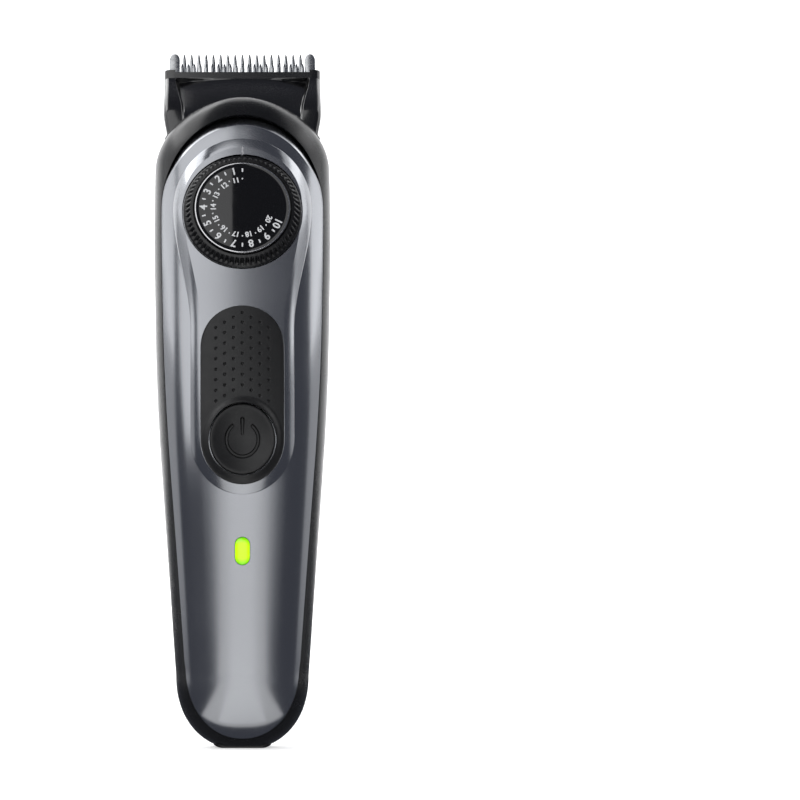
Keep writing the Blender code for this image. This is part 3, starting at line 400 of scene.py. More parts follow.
def silver_lacquer():
    made = material("silver_lacquer", (0.4, 0.41, 0.43), 0.2, metallic=1.0, coat=0.15, coat_roughness=0.1)
    flakes = noise(made, 9000.0, detail=2.0)
    tint(made, flakes, (0.39, 0.4, 0.42), (0.41, 0.42, 0.44))
    vary(made, "Roughness", noise(made, 60.0, detail=1.0), 0.19, 0.215)
    grain(made, noise(made, 700.0, detail=1.0), 0.001, 0.05)
    return made


def satin_black():
    made = material("satin_black", (0.005, 0.0053, 0.006), 0.24)
    fine = noise(made, 5200.0)
    grain(made, fine, 0.003, 0.2)
    vary(made, "Roughness", noise(made, 240.0), 0.24, 0.28)
    return made


def gloss_black():
    made = material("gloss_black", (0.003, 0.003, 0.0035), 0.04, coat=0.4, coat_roughness=0.02)
    vary(made, "Roughness", noise(made, 180.0), 0.03, 0.06)
    return made


def head_black():
    made = material("head_black", (0.003, 0.003, 0.0035), 0.16, specular=0.6, coat=1.0, coat_roughness=0.1)
    vary(made, "Roughness", noise(made, 180.0), 0.18, 0.23)
    grain(made, noise(made, 3000.0, detail=1.0), 0.001, 0.2)
    return made


def soft_black(name="soft_black", tone=0.007):
    made = material(name, (tone, tone * 1.02, tone * 1.1), 0.42, specular=0.5)
    fine = noise(made, 7800.0, detail=4.0)
    tint(made, fine, (tone * 0.85,) * 3, (tone * 1.2, tone * 1.22, tone * 1.3))
    grain(made, fine, 0.014, 0.5)
    vary(made, "Roughness", noise(made, 420.0), 0.38, 0.46)
    return made


def ground_steel():
    made = material("ground_steel", (0.5, 0.51, 0.52), 0.22, metallic=1.0)
    marks = noise(made, 900.0, stretch=(0.15, 1.0, 6.0))
    vary(made, "Roughness", marks, 0.14, 0.3)
    tint(made, noise(made, 320.0), (0.46, 0.47, 0.48), (0.56, 0.57, 0.58))
    grain(made, marks, 0.003, 0.3)
    return made


def plain_plastic(name, colour, roughness=0.42):
    made = material(name, colour, roughness)
    lighter = tuple(min(1.0, c * 1.1) for c in colour)
    tint(made, noise(made, 500.0), tuple(c * 0.9 for c in colour), lighter)
    vary(made, "Roughness", noise(made, 900.0), roughness - 0.06, roughness + 0.06)
    grain(made, noise(made, 6000.0), 0.006, 0.3)
    return made


def plain_metal(name, colour, roughness=0.3):
    made = material(name, colour, roughness, metallic=1.0)
    lighter = tuple(min(1.0, c * 1.08) for c in colour)
    tint(made, noise(made, 700.0), tuple(c * 0.88 for c in colour), lighter)
    vary(made, "Roughness", noise(made, 1500.0), roughness - 0.08, roughness + 0.08)
    return made


def print_white():
    made = material("print_white", (0.72, 0.73, 0.74), 0.45)
    tint(made, noise(made, 2500.0), (0.66, 0.67, 0.68), (0.76, 0.77, 0.78))
    return made


def lit_lens():
    """Green light: brightest and yellowest in the middle, deeper green towards its two ends."""
    made = material("lit_lens", (0.05, 0.35, 0.0), 0.18, coat=0.6)
    nodes, links = made.node_tree.nodes, made.node_tree.links
    centre = lower(0.0, 0.0, LIGHT_T) * MM
    place_node = nodes.new("ShaderNodeTexCoord")
    mapping = nodes.new("ShaderNodeMapping")
    mapping.inputs["Location"].default_value = tuple(-c * 300.0 for c in centre)
    mapping.inputs["Scale"].default_value = (300.0, 0.0, 300.0)
    mapping.inputs["Location"].default_value[1] = 0.0
    spread = nodes.new("ShaderNodeTexGradient")
    spread.gradient_type = "SPHERICAL"
    ramp = nodes.new("ShaderNodeValToRGB")
    ramp.color_ramp.elements[0].color = (0.07, 0.36, 0.0, 1.0)
    ramp.color_ramp.elements[0].position = 0.0
    ramp.color_ramp.elements[1].color = (0.62, 1.0, 0.0, 1.0)
    ramp.color_ramp.elements[1].position = 0.42
    links.new(place_node.outputs["Object"], mapping.inputs["Vector"])
    links.new(mapping.outputs["Vector"], spread.inputs["Vector"])
    links.new(spread.outputs["Color"], ramp.inputs["Fac"])
    shader = nodes["Principled BSDF"]
    links.new(ramp.outputs["Color"], shader.inputs["Emission Color"])
    shader.inputs["Emission Strength"].default_value = 1.05
    return made


# ---------------------------------------------------------------- casing
def squared_off(value):
    """A cosine or sine bent so that a circle becomes the casing's squarish section."""
    return abs(value) ** (2 / SECTION_POWER) * (1 if value >= 0 else -1)


def casing_body(inset, stations, count):
    rings = []
    for t in stations:
        half = max(body_half(t) - inset, 0.8)
        front = max(front_depth(t) - inset, 0.8)
        back = back_depth(t) - inset
        ring = []
        for i in range(count):
            a = 2 * pi * i / count
            depth = back if sin(a) >= 0 else -front
            ring.append((half * squared_off(cos(a)), depth * abs(sin(a)) ** (2 / SECTION_POWER), t))
        rings.append(ring)
    return loft(rings)


def casing_stations():
    ends = [BASE_T + (END_LENGTH - BASE_T) * (1 - cos(pi / 2 * i / 18)) for i in range(18)]
    middle = [END_LENGTH + (SHOULDER_T - END_LENGTH) * i / 78 for i in range(79)]
    top = [SHOULDER_T + (DOME_RISE - 0.1) * sin(pi / 2 * i / 22) for i in range(1, 23)]
    return ends + middle + top


def cover_outline():
    return outline(cover_half, COVER_LOW_T - COVER_LOW_LENGTH, COVER_HIGH_T + COVER_HIGH_LENGTH, 120)


def rear_housing():
    inner_t = [3.4, 5.0, 8.0, 12.0, 17.0, 30.0, 46.0] + [60.0 + 8.0 * i for i in range(11)] + [148.8]
    shell = cut(casing_body(0.0, casing_stations(), 144), casing_body(WALL, inner_t, 48))
    shell = cut(shell, plate(grown(cover_outline(), SEAM), -40.0, COVER_BACK_Y + SEAM))
    shell = cut(shell, box(-30.0, 30.0, TONGUE_BACK_Y, 30.0, NECK_TOP_T, 175.0))
    low, high = NECK_TOP_T - 1.2, NECK_TOP_T + 3.4
    for side in (1, -1):
        shell = join(shell, slab(rounded(side * 9.2 - 1.8, side * 9.2 + 1.8, -0.4, 8.6, 1.2), low, high))
    channel = plate(rounded(-5.6, 5.6, 117.6, 139.7, 2.0), back_depth(DIAL_T) - 1.4, 30.0)
    slot = plate(rounded(-3.2, 3.2, 119.7, 137.6, 0.5), 8.0, 30.0)
    socket_bay = slab(rounded(-7.0 - SEAM, 7.0 + SEAM, -4.9 - SEAM, 4.9 + SEAM, 2.0), -5.0, 9.0)
    crank_hole = upright([(2.7, 140.0), (2.7, 160.0)], (0.0, MOTOR_Y))
    grip_bay = plate(pill(11.12, 17.88, 108.12, 24), 5.0, 30.0)
    grip_bay = combine(grip_bay, casing_body(0.9, GRIP_STATIONS, 72))
    return cut(shell, channel, slot, socket_bay, crank_hole, grip_bay)


GRIP_STATIONS = [8.0, 17.0, 24.0, 36.0] + [60.0 + 10.0 * i for i in range(7)]


PANEL_STEP = 0.4  # how far the keyhole border's edge stands off the skin
CHAMFER_LOW_T, CHAMFER_WIDTH, CHAMFER_SLOPE = 131.0, 3.0, 0.6


def chamfer_width(t):
    """Width of the silver cover's sloping rim: widest over the top, none down the sides."""
    return 0.3 + (CHAMFER_WIDTH - 0.3) * (max(0.0, t - CHAMFER_LOW_T) / 22.6) ** 1.3


def cover_face(x, t, inset, width):
    """Outer face of the silver cover: the casing's skin, chamfered along its upper rim."""
    slope = CHAMFER_SLOPE * smooth(0.3, 1.4, width)
    edge = 0.2 * max(0.0, 1.0 - inset / (0.1 * width)) ** 2
    return skin_y(x, t) + slope * max(0.0, width - inset) + edge


def panel_face(x, t, inset, width):
    """Outer face of the keyhole panel: nearly flat, with a sloping border down to a low step."""
    edge = 0.1 * max(0.0, 1.0 - inset / (0.05 * width)) ** 2
    return mix(skin_y(x, t) - PANEL_STEP, panel_y(x, t), min(1.0, inset / width)) + edge


def front_cover():
    def shell_back(x, t):
        return min(skin_y(x, t) + 2.2, COVER_BACK_Y)

    shell = dished(cover_outline(), 22.0, 129.0, chamfer_width, 22, cover_face, shell_back)
    low, high = KEYHOLE_LOW_T - KEYHOLE_LOW_HALF, KEYHOLE_TOP_T + KEYHOLE_TOP_LENGTH
    keyhole = outline(keyhole_half, low, high, 110)
    panel = dished(
        keyhole, 74.0, 129.0, lambda t: PANEL_BORDER, 14, panel_face, lambda x, t: skin_y(x, t) + 1.6
    )
    shell = join(shell, panel)
    floor = panel_y(0.0, BUTTON_T) + 1.3
    recess = [(DIAL_RADIUS + extra, y) for extra, y in (
        (0.75, -22.0),
        (0.35, DIAL_FLOOR_Y - 0.5),
        (0.2, DIAL_FLOOR_Y),
    )]
    dial = turned(recess, (0.0, DIAL_T), 144)
    pocket = plate(pill(PAD_HALF + SEAM, PAD_LOW_T - SEAM, PAD_HIGH_T + SEAM, 48), -30.0, floor)
    light = plate(pill_of_light(0.12), -20.0, -5.0)
    # room behind the cover for the rack yoke, over its whole travel
    yoke = [(-13.2, -4.0), (13.2, -4.0), (13.2, -9.6), (10.1, -11.4), (-10.1, -11.4), (-13.2, -9.6)]
    yoke_way = slab(yoke, 112.2, 142.9)
    return cut(shell, dial, pocket, light, yoke_way)


def pill_of_light(extra):
    reach = LIGHT_HALF_LENGTH + extra
    return pill(LIGHT_HALF_WIDTH + extra, LIGHT_T - reach, LIGHT_T + reach, 20)


def rear_grip():
    """Soft back pad with shallow cross ribs."""
    stations = [8.0 + 0.5 * i for i in range(209)]
    rings = []
    for ring_t in stations:
        rib = 0.16 * max(0.0, cos(2 * pi * ring_t / 4.0)) ** 2 * smooth(22.0, 28.0, ring_t)
        rib *= 1 - smooth(98.0, 104.0, ring_t)
        half = body_half(ring_t) + 0.3
        back = back_depth(ring_t) + 0.3 - rib
        turns = [2 * pi * i / 96 for i in range(96)]
        rings.append([(half * squared_off(cos(a)), back * squared_off(sin(a)), ring_t) for a in turns])
    pad = combine(loft(rings), casing_body(0.8, GRIP_STATIONS, 72))
    return combine(pad, plate(pill(11.0, 18.0, 108.0, 24), 4.0, 30.0), "INTERSECT")


def housing_rim():
    """Thin bead along the top arch of the housing, where it meets the head."""
    radius, rows = 0.26, 96
    angles = [pi * (0.145 + 0.71 * i / rows) for i in range(rows + 1)]
    rings = []
    for a in angles:
        t = SHOULDER_T + (DOME_RISE - 0.15) * sin(a)
        x = (1 if cos(a) >= 0 else -1) * (body_half(t) - 0.22)
        centre = Vector((x, TONGUE_BACK_Y - 0.3, t))
        out = Vector((cos(a), 0.0, sin(a)))
        turns = [2 * pi * k / 12 for k in range(12)]
        rings.append([
            tuple(centre + out * radius * cos(b) + Vector((0.0, radius * sin(b), 0.0))) for b in turns
        ])
    return loft(rings)


def build_casing(look):
    place("housing_shell", rear_housing(), look["satin"], bent, "handle", ["rear_housing"], 30)
    place("silver_cover", front_cover(), look["silver"], bent, "handle", ["front_cover"], 14)
    place("back_grip", rear_grip(), look["soft"], bent, "handle", ["rear_grip"], 30)
    face = panel_y(0.0, 143.3)
    mark = plate(rounded(-0.28, 0.28, 142.3, 144.4, 0.26), face - 0.12, face + 1.0)
    place("index_mark", mark, look["bright"], neck, "handle", ())
    place("housing_rim", housing_rim(), look["satin"], neck, "handle", (), 60)


# ---------------------------------------------------------------- thumb pad, button and light
DOT_PITCH_X, DOT_PITCH_T, DOT_RADIUS, DOT_DEPTH = 2.12, 2.38, 0.4, 0.34


PAD_GRID = 0.11  # spacing of the pad's surface grid, fine enough for its dots
PAD_MARGIN = 0.4  # the grid reaches this far past the pad before it is cut to shape
DISH_DEPTH = 1.15  # hollow of the button's face


def dots():
    """Centres of the pressed-in dots, as (x, t): staggered columns inside the pill, clear of the button."""
    found = []
    for column in range(-4, 5):
        x = column * DOT_PITCH_X
        shift = 0.0 if column % 2 == 0 else 0.5
        for row in range(-1, 12):
            t = 82.8 + (row + shift) * DOT_PITCH_T
            top = PAD_HIGH_T - PAD_HALF
            inside = hypot(x, max(0.0, t - top)) < PAD_HALF - 1.6
            clear = hypot(x, t - BUTTON_T) > BUTTON_RADIUS + 2.6
            if inside and clear:
                found.append((x, t))
    return found


def pad_face(x, t):
    """The pad is crowned across, and rises to a ring round the button."""
    ring = 0.75 * (1 - smooth(BUTTON_RADIUS + 0.1, BUTTON_RADIUS + 1.9, hypot(x, t - BUTTON_T)))
    return panel_y(x, t) - 0.4 + 0.7 * (x / PAD_HALF) ** 2 - ring


def thumb_pad():
    """A fine grid over the pad with its dots pressed in, cut to the pill's outline and bored for the button."""
    floor = panel_y(0.0, BUTTON_T) + 1.0
    left, bottom = -PAD_HALF - PAD_MARGIN, PAD_LOW_T - PAD_MARGIN
    columns = int(2 * (PAD_HALF + PAD_MARGIN) / PAD_GRID)
    rows = int((PAD_HIGH_T - PAD_LOW_T + 2 * PAD_MARGIN) / PAD_GRID)

    def cells(value, start):
        """Grid lines within 1 mm of the value."""
        return range(int((value - 1 - start) / PAD_GRID), int((value + 1 - start) / PAD_GRID) + 1)

    near = {}
    for x, t in dots():
        for i in cells(x, left):
            for j in cells(t, bottom):
                near.setdefault((i, j), []).append((x, t))
    bm = bmesh.new()
    grid = []
    for j in range(rows + 1):
        line = []
        for i in range(columns + 1):
            x, t = left + i * PAD_GRID, bottom + j * PAD_GRID
            y = pad_face(x, t)
            for dx, dt in near.get((i, j), ()):
                reach = hypot(x - dx, t - dt)
                y += DOT_DEPTH * (1 - smooth(0.14, DOT_RADIUS, reach))
            line.append(bm.verts.new((x, y, t)))
        grid.append(line)
    for low, high in zip(grid, grid[1:]):
        for i in range(columns):
            bm.faces.new((low[i], low[i + 1], high[i + 1], high[i]))
    right_side = [line[-1] for line in grid[1:-1]]
    left_side = [line[0] for line in grid[-2:0:-1]]
    border = [*grid[0], *right_side, *grid[-1][::-1], *left_side]
    base = [bm.verts.new((v.co.x, 0.0, v.co.z)) for v in border]
    for k in range(len(border)):
        n = (k + 1) % len(border)
        bm.faces.new((border[k], base[k], base[n], border[n]))
    bm.faces.new(base)
    bmesh.ops.recalc_face_normals(bm, faces=bm.faces)
    pad = combine(bm, plate(pill(PAD_HALF, PAD_LOW_T, PAD_HIGH_T, 48), -30.0, floor), "INTERSECT")
    bore = turned([(BUTTON_RADIUS + 0.25, -30.0), (BUTTON_RADIUS + 0.25, 0.0)], (0.0, BUTTON_T), 96)
    return cut(pad, bore)


def power_button():
    face = panel_y(0.0, BUTTON_T)
    rim = BUTTON_RADIUS
    profile = [(2.0, -11.05), (2.0, face + 2.9), (rim - 1.2, face + 2.6)]
    profile += [(rim, face + 2.4), (rim, face + 0.15)]
    profile += [(rim - 0.35 + 0.35 * cos(a), face - 0.1 - 0.45 * sin(a)) for a in (0.3, 0.7, 1.1, 1.4)]
    dish = [(rim - 0.7) * (1 - i / 14) for i in range(14)]
    profile += [(r, face - 0.52 + DISH_DEPTH * (1 - (r / (rim - 0.7)) ** 2)) for r in dish]
    return turned(profile, (0.0, BUTTON_T), 96)


def groove(points, floor):
    """Cutter for an engraved line: straight floor, sloping sides."""
    levels = ((floor, 0.0), (floor - 0.55, 0.34), (-30.0, 0.34))
    return loft([[(x, y, t) for x, t in grown(points, extra)] for y, extra in levels])


def power_sign():
    """The generic on/off sign, as cutters: a ring open at the top, and a bar."""
    low, high = radians(90 + 36), radians(90 - 36 + 360)
    outer = [(4.0, mix(low, high, i / 48)) for i in range(49)]
    inner = [(3.6, a) for r, a in reversed(outer)]
    ring = [(r * cos(a), BUTTON_T + r * sin(a)) for r, a in outer + inner]
    bar = rounded(-0.2, 0.2, BUTTON_T + 1.1, BUTTON_T + 4.7, 0.18)
    floor = panel_y(0.0, BUTTON_T) - 0.52 + DISH_DEPTH * 0.74
    return groove(ring, floor + 0.4), groove(bar, floor + 0.5)


def build_controls(look):
    place("dotted_pad", thumb_pad(), look["pad"], bent, "handle", ["thumb_pad"], 40)
    button = cut(power_button(), *power_sign())
    place("button_cap", button, look["button"], bent, "button", ["power_button"], 28)
    face = -front_depth(LIGHT_T)
    steps = [(0.0, face + 3.0), (0.0, face + 0.05)]
    steps += [(0.12, face - 0.12), (0.4, face - 0.24), (0.8, face - 0.3)]
    lens = loft([[(x, y, t) for x, t in pill_of_light(-inset)] for inset, y in steps])
    place("light_window", lens, look["light"], lower, "handle", ["light_lens"], 50)


# ---------------------------------------------------------------- dial
KNURLS = 66
SCALE_STEPS = 14  # steps of the printed scale in a whole turn
DISC_CURVE = 0.0045  # one over the radius of the dial's domed face


def dial_ring():
    """Knurled ring: a plain flange, then ribs on a cone, then a smooth inner lip."""
    low_y = DIAL_FLOOR_Y - GAP
    levels = [
        (12.0, low_y, 0.0),
        (DIAL_RADIUS - 0.25, low_y, 0.0),
        (DIAL_RADIUS, low_y - 0.2, 0.0),
        (DIAL_RADIUS, low_y - 0.75, 0.0),
        (DIAL_RADIUS - 0.15, low_y - 0.95, 0.0),
        (DIAL_RADIUS - 0.45, low_y - 1.05, 0.0),
        (DIAL_RADIUS - 0.55, low_y - 1.15, 0.55),
        (DIAL_RADIUS - 1.15, low_y - 2.75, 0.55),
        (DIAL_RADIUS - 1.45, low_y - 3.05, 0.4),
        (DIAL_RADIUS - 1.75, low_y - 3.15, 0.0),
        (DIAL_FACE_RADIUS + 0.35, low_y - 3.25, 0.0),
        (DIAL_FACE_RADIUS + 0.12, low_y - 3.1, 0.0),
        (DIAL_FACE_RADIUS + 0.1, low_y - 2.4, 0.0),
    ]
    wave = (0.0, 0.04, 0.3, 0.85, 1.0, 1.0, 0.85, 0.3, 0.04, 0.0)
    rings = []
    for radius, y, depth in levels:
        ring = []
        for i in range(KNURLS * len(wave)):
            r = radius - depth * wave[i % len(wave)]
            a = 2 * pi * i / (KNURLS * len(wave))
            ring.append((r * cos(a), y, DIAL_T + r * sin(a)))
        rings.append(ring)
    return loft(rings)


def disc_y(radius):
    """The dial's face is a shallow dome."""
    return DIAL_FLOOR_Y - GAP - 3.95 + 0.5 * DISC_CURVE * radius ** 2


def dial_disc():
    y = DIAL_FLOOR_Y - GAP
    r = DIAL_FACE_RADIUS
    profile = [(r - 0.3, y - 2.5), (r, y - 2.6), (r, y - 3.35), (r - 0.04, y - 3.45), (r - 0.2, y - 3.62)]
    profile += [(r - 0.42, y - 3.68)]
    profile += [(s, disc_y(s)) for s in (r - 0.46, 10.4, 9.4, 8.2, 7.0, 5.6, 4.2, 2.8, 1.4)]
    return turned(profile, (0.0, DIAL_T), 144)


def text_mesh(body, size):
    """Flat outlines of a figure as a thin plate, centred on the origin, in millimetres."""
    curve = bpy.data.curves.new("figure", "FONT")
    curve.body = body
    curve.size = size
    curve.align_x = "CENTER"
    curve.align_y = "CENTER"
    curve.extrude = 0.03
    curve.offset = 0.06
    curve.space_character = 0.98
    curve.resolution_u = 4
    holder = bpy.data.objects.new("figure", curve)
    bpy.context.scene.collection.objects.link(holder)
    graph = bpy.context.evaluated_depsgraph_get()
    graph.update()
    made = bmesh.new()
    made.from_mesh(holder.evaluated_get(graph).to_mesh())
    bpy.data.objects.remove(holder)
    bpy.data.curves.remove(curve)
    return made


def dial_scale():
    """Comb lengths 1 to 20 with their half steps, printed on the dial's face."""
    bm = bmesh.new()

    def stamp(source, angle, radius):
        turn = Matrix.Rotation(-angle, 4, "Z")
        shift = Matrix.Translation((radius * sin(angle), radius * cos(angle), 0.0))
        source.transform(shift @ turn)
        mesh = bpy.data.meshes.new("stamp")
        source.to_mesh(mesh)
        source.free()
        for v in mesh.vertices:
            v.co = (v.co.x, disc_y(hypot(v.co.x, v.co.y)) - 0.005 - v.co.z, DIAL_T + v.co.y)
        bm.from_mesh(mesh)
        bpy.data.meshes.remove(mesh)

    def bar(width, length):
        made = bmesh.new()
        points = rounded(-width / 2, width / 2, -length / 2, length / 2, width * 0.4, 3)
        rings = [[made.verts.new((x, y, z)) for x, y in points] for z in (-0.03, 0.03)]
        for i in range(len(points)):
            j = (i + 1) % len(points)
            made.faces.new((rings[0][i], rings[0][j], rings[1][j], rings[1][i]))
        made.faces.new(rings[0][::-1])
        made.faces.new(rings[1])
        return made

    for n in range(10):
        at = -2 * pi * (n + 0.5) / SCALE_STEPS
        stamp(text_mesh(str(n + 1), 2.55), at, 9.35)
        stamp(text_mesh(str(n + 11), 1.8), at, 7.0)
        between = -2 * pi * n / SCALE_STEPS
        stamp(bar(0.36, 0.95), between, 9.6)
        stamp(bar(0.36, 0.36), between, 7.35)
    return bm


def build_dial(look):
    place("knurled_ring", dial_ring(), look["knurl"], neck, "dial", ["dial_knob"], 35)
    place("dial_disc", dial_disc(), look["gloss"], neck, "dial", ["dial_face"], 25)
    place("dial_scale", dial_scale(), look["print"], neck, "dial", ())
    rim = turned([(11.34, -17.96), (11.5, -17.93), (11.53, -17.99), (11.36, -18.02)], (0.0, DIAL_T), 144)
    inner = turned([(11.3, -30.0), (11.3, -10.0)], (0.0, DIAL_T), 144)
    place("dial_rim", cut(rim, inner), look["bright"], neck, "dial", ())


# ---------------------------------------------------------------- head and blades
def head_front(t):
    """Front of the head: upright behind the tongue, then a sweep up to the straight lip."""
    return TONGUE_BACK_Y + GAP + 8.6 * smooth(157.5, 176.0, min(t, LIP_LOW_T))


def head_back(t):
    return 14.2 - 1.6 * smooth(158.0, 172.0, t)


def head_section(t):
    """One section of the head: rounded pillars at the sides, and a hollow panel between them."""
    half = HEAD_HALF - 0.9 * (1 - smooth(HEAD_LOW_T, HEAD_LOW_T + 7.0, t))
    front, back = head_front(t), head_back(t)
    hollow = 2.2 * smooth(154.0, 162.0, t) * (1 - smooth(LIP_LOW_T - 0.6, LIP_LOW_T + 0.1, t))
    cheek = 15.2 + 1.9 * smooth(158.0, 171.0, t)
    corner = 2.6
    points = []
    for side in (0, 1):
        cx = (half - corner) * (1 if side == 0 else -1)
        for i in range(9):
            a = pi / 2 * (side + i / 8)
            points.append((cx + corner * cos(a), back - corner + corner * sin(a), t))
    nose = 1.5
    for i in range(9):
        a = pi + pi / 2 * i / 8
        points.append((-half + nose + nose * cos(a), front + nose + nose * sin(a), t))
    across = 60
    for i in range(across + 1):
        u = sin(pi / 2 * (-1 + 2 * i / across))
        wall = smooth(0.0, 0.045, 1 - abs(u))
        points.append((cheek * u, front + hollow * wall * (1 - 0.9 * (1 - abs(u) ** 2.6)), t))
    for i in range(9):
        a = -pi / 2 + pi / 2 * i / 8
        points.append((half - nose + nose * cos(a), front + nose + nose * sin(a), t))
    return points


def head_housing():
    stations = [HEAD_LOW_T, HEAD_LOW_T + 0.3] + [152.4 + 0.6 * i for i in range(28)]
    stations += [LIP_LOW_T + d for d in (-0.75, -0.6, -0.45, -0.3, -0.15, 0.0, 0.1, 0.25, 1.2, 1.9, 2.2)]
    stations.append(HEAD_HIGH_T)
    shell = loft([head_section(t) for t in stations])
    socket = slab(rounded(-16.6, 16.6, -1.2, 12.0, 1.5), 140.0, 158.0)
    driver_room = slab(rounded(-7.5, 7.5, 5.4, 20.0, 1.0), 157.5, 163.0)
    spring_room = slab(rounded(-16.6, 16.6, 5.4, 20.0, 1.0), 162.6, 168.6)
    cutter_bay = box(-17.4, 17.4, 10.3, 30.0, 162.6, 190.0)
    blade_bay = box(-17.9 - GAP, 17.9 + GAP, BLADE_Y - GAP, 30.0, BLADE_LOW_T - GAP, 190.0)
    back_bay = box(-15.2 - GAP, 15.2 + GAP, BLADE_Y - GAP, 30.0, 140.0, BLADE_LOW_T)
    lip_step = box(-17.0, 17.0, -10.0, 20.0, HEAD_HIGH_T - 0.6, 190.0)
    return cut(shell, socket, driver_room, spring_room, cutter_bay, blade_bay, back_bay, lip_step)


def tooth(centre, profile, back):
    """A ridged tooth; profile lists (t, half width, front y). Its front is a flat between two slopes."""
    rings = []
    for t, half, front in profile:
        deep = front + 0.25 * half
        flat = 0.42 * half
        ring = [(-half, back), (-half, deep), (-flat, front), (flat, front), (half, deep), (half, back)]
        rings.append([(centre + x, y, t) for x, y in ring])
    return loft(rings)


def gathered(*parts):
    """Several closed bodies as one mesh."""
    whole = bmesh.new()
    for part in parts:
        mesh = bpy.data.meshes.new("part")
        part.to_mesh(mesh)
        part.free()
        whole.from_mesh(mesh)
        bpy.data.meshes.remove(mesh)
    return whole


def guard_finger(side):
    """The wide rounded finger that guards one end of the blade."""
    middle, half, low = side * 17.35, 1.35, TEETH_TIP_T - 1.9
    rings = []
    front, back = BLADE_Y, BLADE_Y + 0.7
    for t in [BLADE_LOW_T + 14.5, 174.0, 176.0] + [low + 1.9 * sin(pi / 2 * i / 9) for i in range(10)]:
        reach = half * arch(max(0.0, t - low) / 1.95, 2.3)
        lean = 0.22 * smooth(low - 2.0, TEETH_TIP_T, t)
        ring = []
        for i in range(20):
            a = 2 * pi * i / 20
            x = reach * abs(cos(a)) ** 0.6 * (1 if cos(a) >= 0 else -1)
            depth = 0.5 * (back - front - lean) * abs(sin(a)) ** 0.6 * (1 if sin(a) >= 0 else -1)
            ring.append((middle + x, mix(front + lean, back, 0.5) + depth, t))
        rings.append(ring)
    return loft(rings)


def fixed_blade():
    top = TEETH_ROOT_T + 0.2
    corners = [(-17.9, BLADE_LOW_T), (17.9, BLADE_LOW_T), (17.9, top), (-17.9, top)]
    blade = plate(corners, BLADE_Y, BLADE_Y + 0.7)
    holes = [turned([(1.1, 0.0), (1.1, 30.0)], (s * BLADE_SCREW_X, BLADE_SCREW_T), 40) for s in (1, -1)]
    blade = cut(blade, *holes)
    low, high = TEETH_ROOT_T - 0.2, TEETH_TIP_T
    shape = [(0.0, 0.62, 0.0), (0.3, 0.6, 0.0), (0.55, 0.52, 0.0)]
    shape += [(0.75, 0.4, 0.08), (0.9, 0.26, 0.22), (1.0, 0.1, 0.36)]
    profile = [(mix(low, high, u), half, BLADE_Y + drop) for u, half, drop in shape]
    teeth = [
        tooth((k - (FIXED_TEETH - 1) / 2) * FIXED_PITCH, profile, BLADE_Y + 0.7) for k in range(FIXED_TEETH)
    ]
    return gathered(blade, *teeth, guard_finger(1), guard_finger(-1))


def moving_blade():
    low_plate = [(-15.9, 163.0), (15.9, 163.0), (15.9, CUTTER_ROOT_T + 0.2), (-15.9, CUTTER_ROOT_T + 0.2)]
    front, back = BLADE_Y - 0.9, BLADE_Y - GAP
    low, high = CUTTER_ROOT_T, CUTTER_TIP_T
    shape = [(0.0, 0.5, 0.25), (0.3, 0.46, 0.12), (0.68, 0.42, 0.0), (0.86, 0.3, 0.22), (1.0, 0.12, 0.42)]
    profile = [(mix(low, high, u), half, front + drop) for u, half, drop in shape]
    teeth = [tooth((k - (MOVING_TEETH - 1) / 2) * MOVING_PITCH, profile, back) for k in range(MOVING_TEETH)]
    return gathered(plate(low_plate, front + 0.25, back), *teeth)


def build_head(look):
    place("head_shell", head_housing(), look["head"], neck, "head", ["head_housing"], 35)
    place("comb_blade", fixed_blade(), look["steel"], neck, "head", ["fixed_blade"])
    place("cutter_blade", moving_blade(), look["steel"], neck, "cutter", ["moving_blade"])


# ---------------------------------------------------------------- CAD pieces that stay
def finish_frame(look):
    """Finished materials on the CAD pieces that are shown as they are."""
    finishes = {
        "black_satin": look["satin"],
        "black_gloss": look["gloss"],
        "soft_black": look["soft"],
        "silver_grey": look["silver"],
        "steel": look["steel"],
        "brass": plain_metal("turned_brass", (0.78, 0.57, 0.24), 0.24),
        "nickel": plain_metal("nickel_plate", (0.62, 0.6, 0.56), 0.3),
        "green_light": look["light"],
        "board_green": plain_plastic("board_green", (0.015, 0.14, 0.05), 0.35),
        "cell_wrap": plain_plastic("cell_wrap", (0.05, 0.17, 0.42), 0.28),
        "inner_grey": plain_plastic("inner_grey", (0.2, 0.21, 0.23), 0.45),
        "white_acetal": plain_plastic("white_acetal", (0.74, 0.74, 0.71), 0.4),
        "rubber": plain_plastic("black_rubber", (0.015, 0.015, 0.015), 0.7),
        "lead_red": plain_plastic("lead_red", (0.5, 0.02, 0.02), 0.45),
    }
    slots = {row["node"]: row["material_slot"] for row in frame["record"]["subparts"]}
    for name, piece in frame["nodes"].items():
        piece.data.materials.clear()
        piece.data.materials.append(finishes[slots[name]])


# ---------------------------------------------------------------- stage, lights and camera
AIM = Vector((0.0, -0.007132, 0.0844))
CAMERA_DISTANCE = 0.75
CAMERA_ELEVATION = radians(-3.0)
CAMERA_SHIFT = 0.197  # the object stands this share of the picture's width left of its middle
SENSOR_WIDTH = 36.0
VIEW_WIDTH = 0.196  # width in view at the camera's distance, in metres


def add_camera():
    data = bpy.data.cameras.new("camera")
    data.sensor_width = SENSOR_WIDTH
    data.lens = SENSOR_WIDTH * CAMERA_DISTANCE / VIEW_WIDTH
    data.shift_x = CAMERA_SHIFT
    data.clip_start = 0.01
    camera = bpy.data.objects.new("camera", data)
    bpy.context.scene.collection.objects.link(camera)
    back = Vector((0.0, -cos(CAMERA_ELEVATION), sin(CAMERA_ELEVATION)))
    camera.location = AIM + back * CAMERA_DISTANCE
    camera.rotation_euler = (-back).to_track_quat("-Z", "Y").to_euler()
    bpy.context.scene.camera = camera


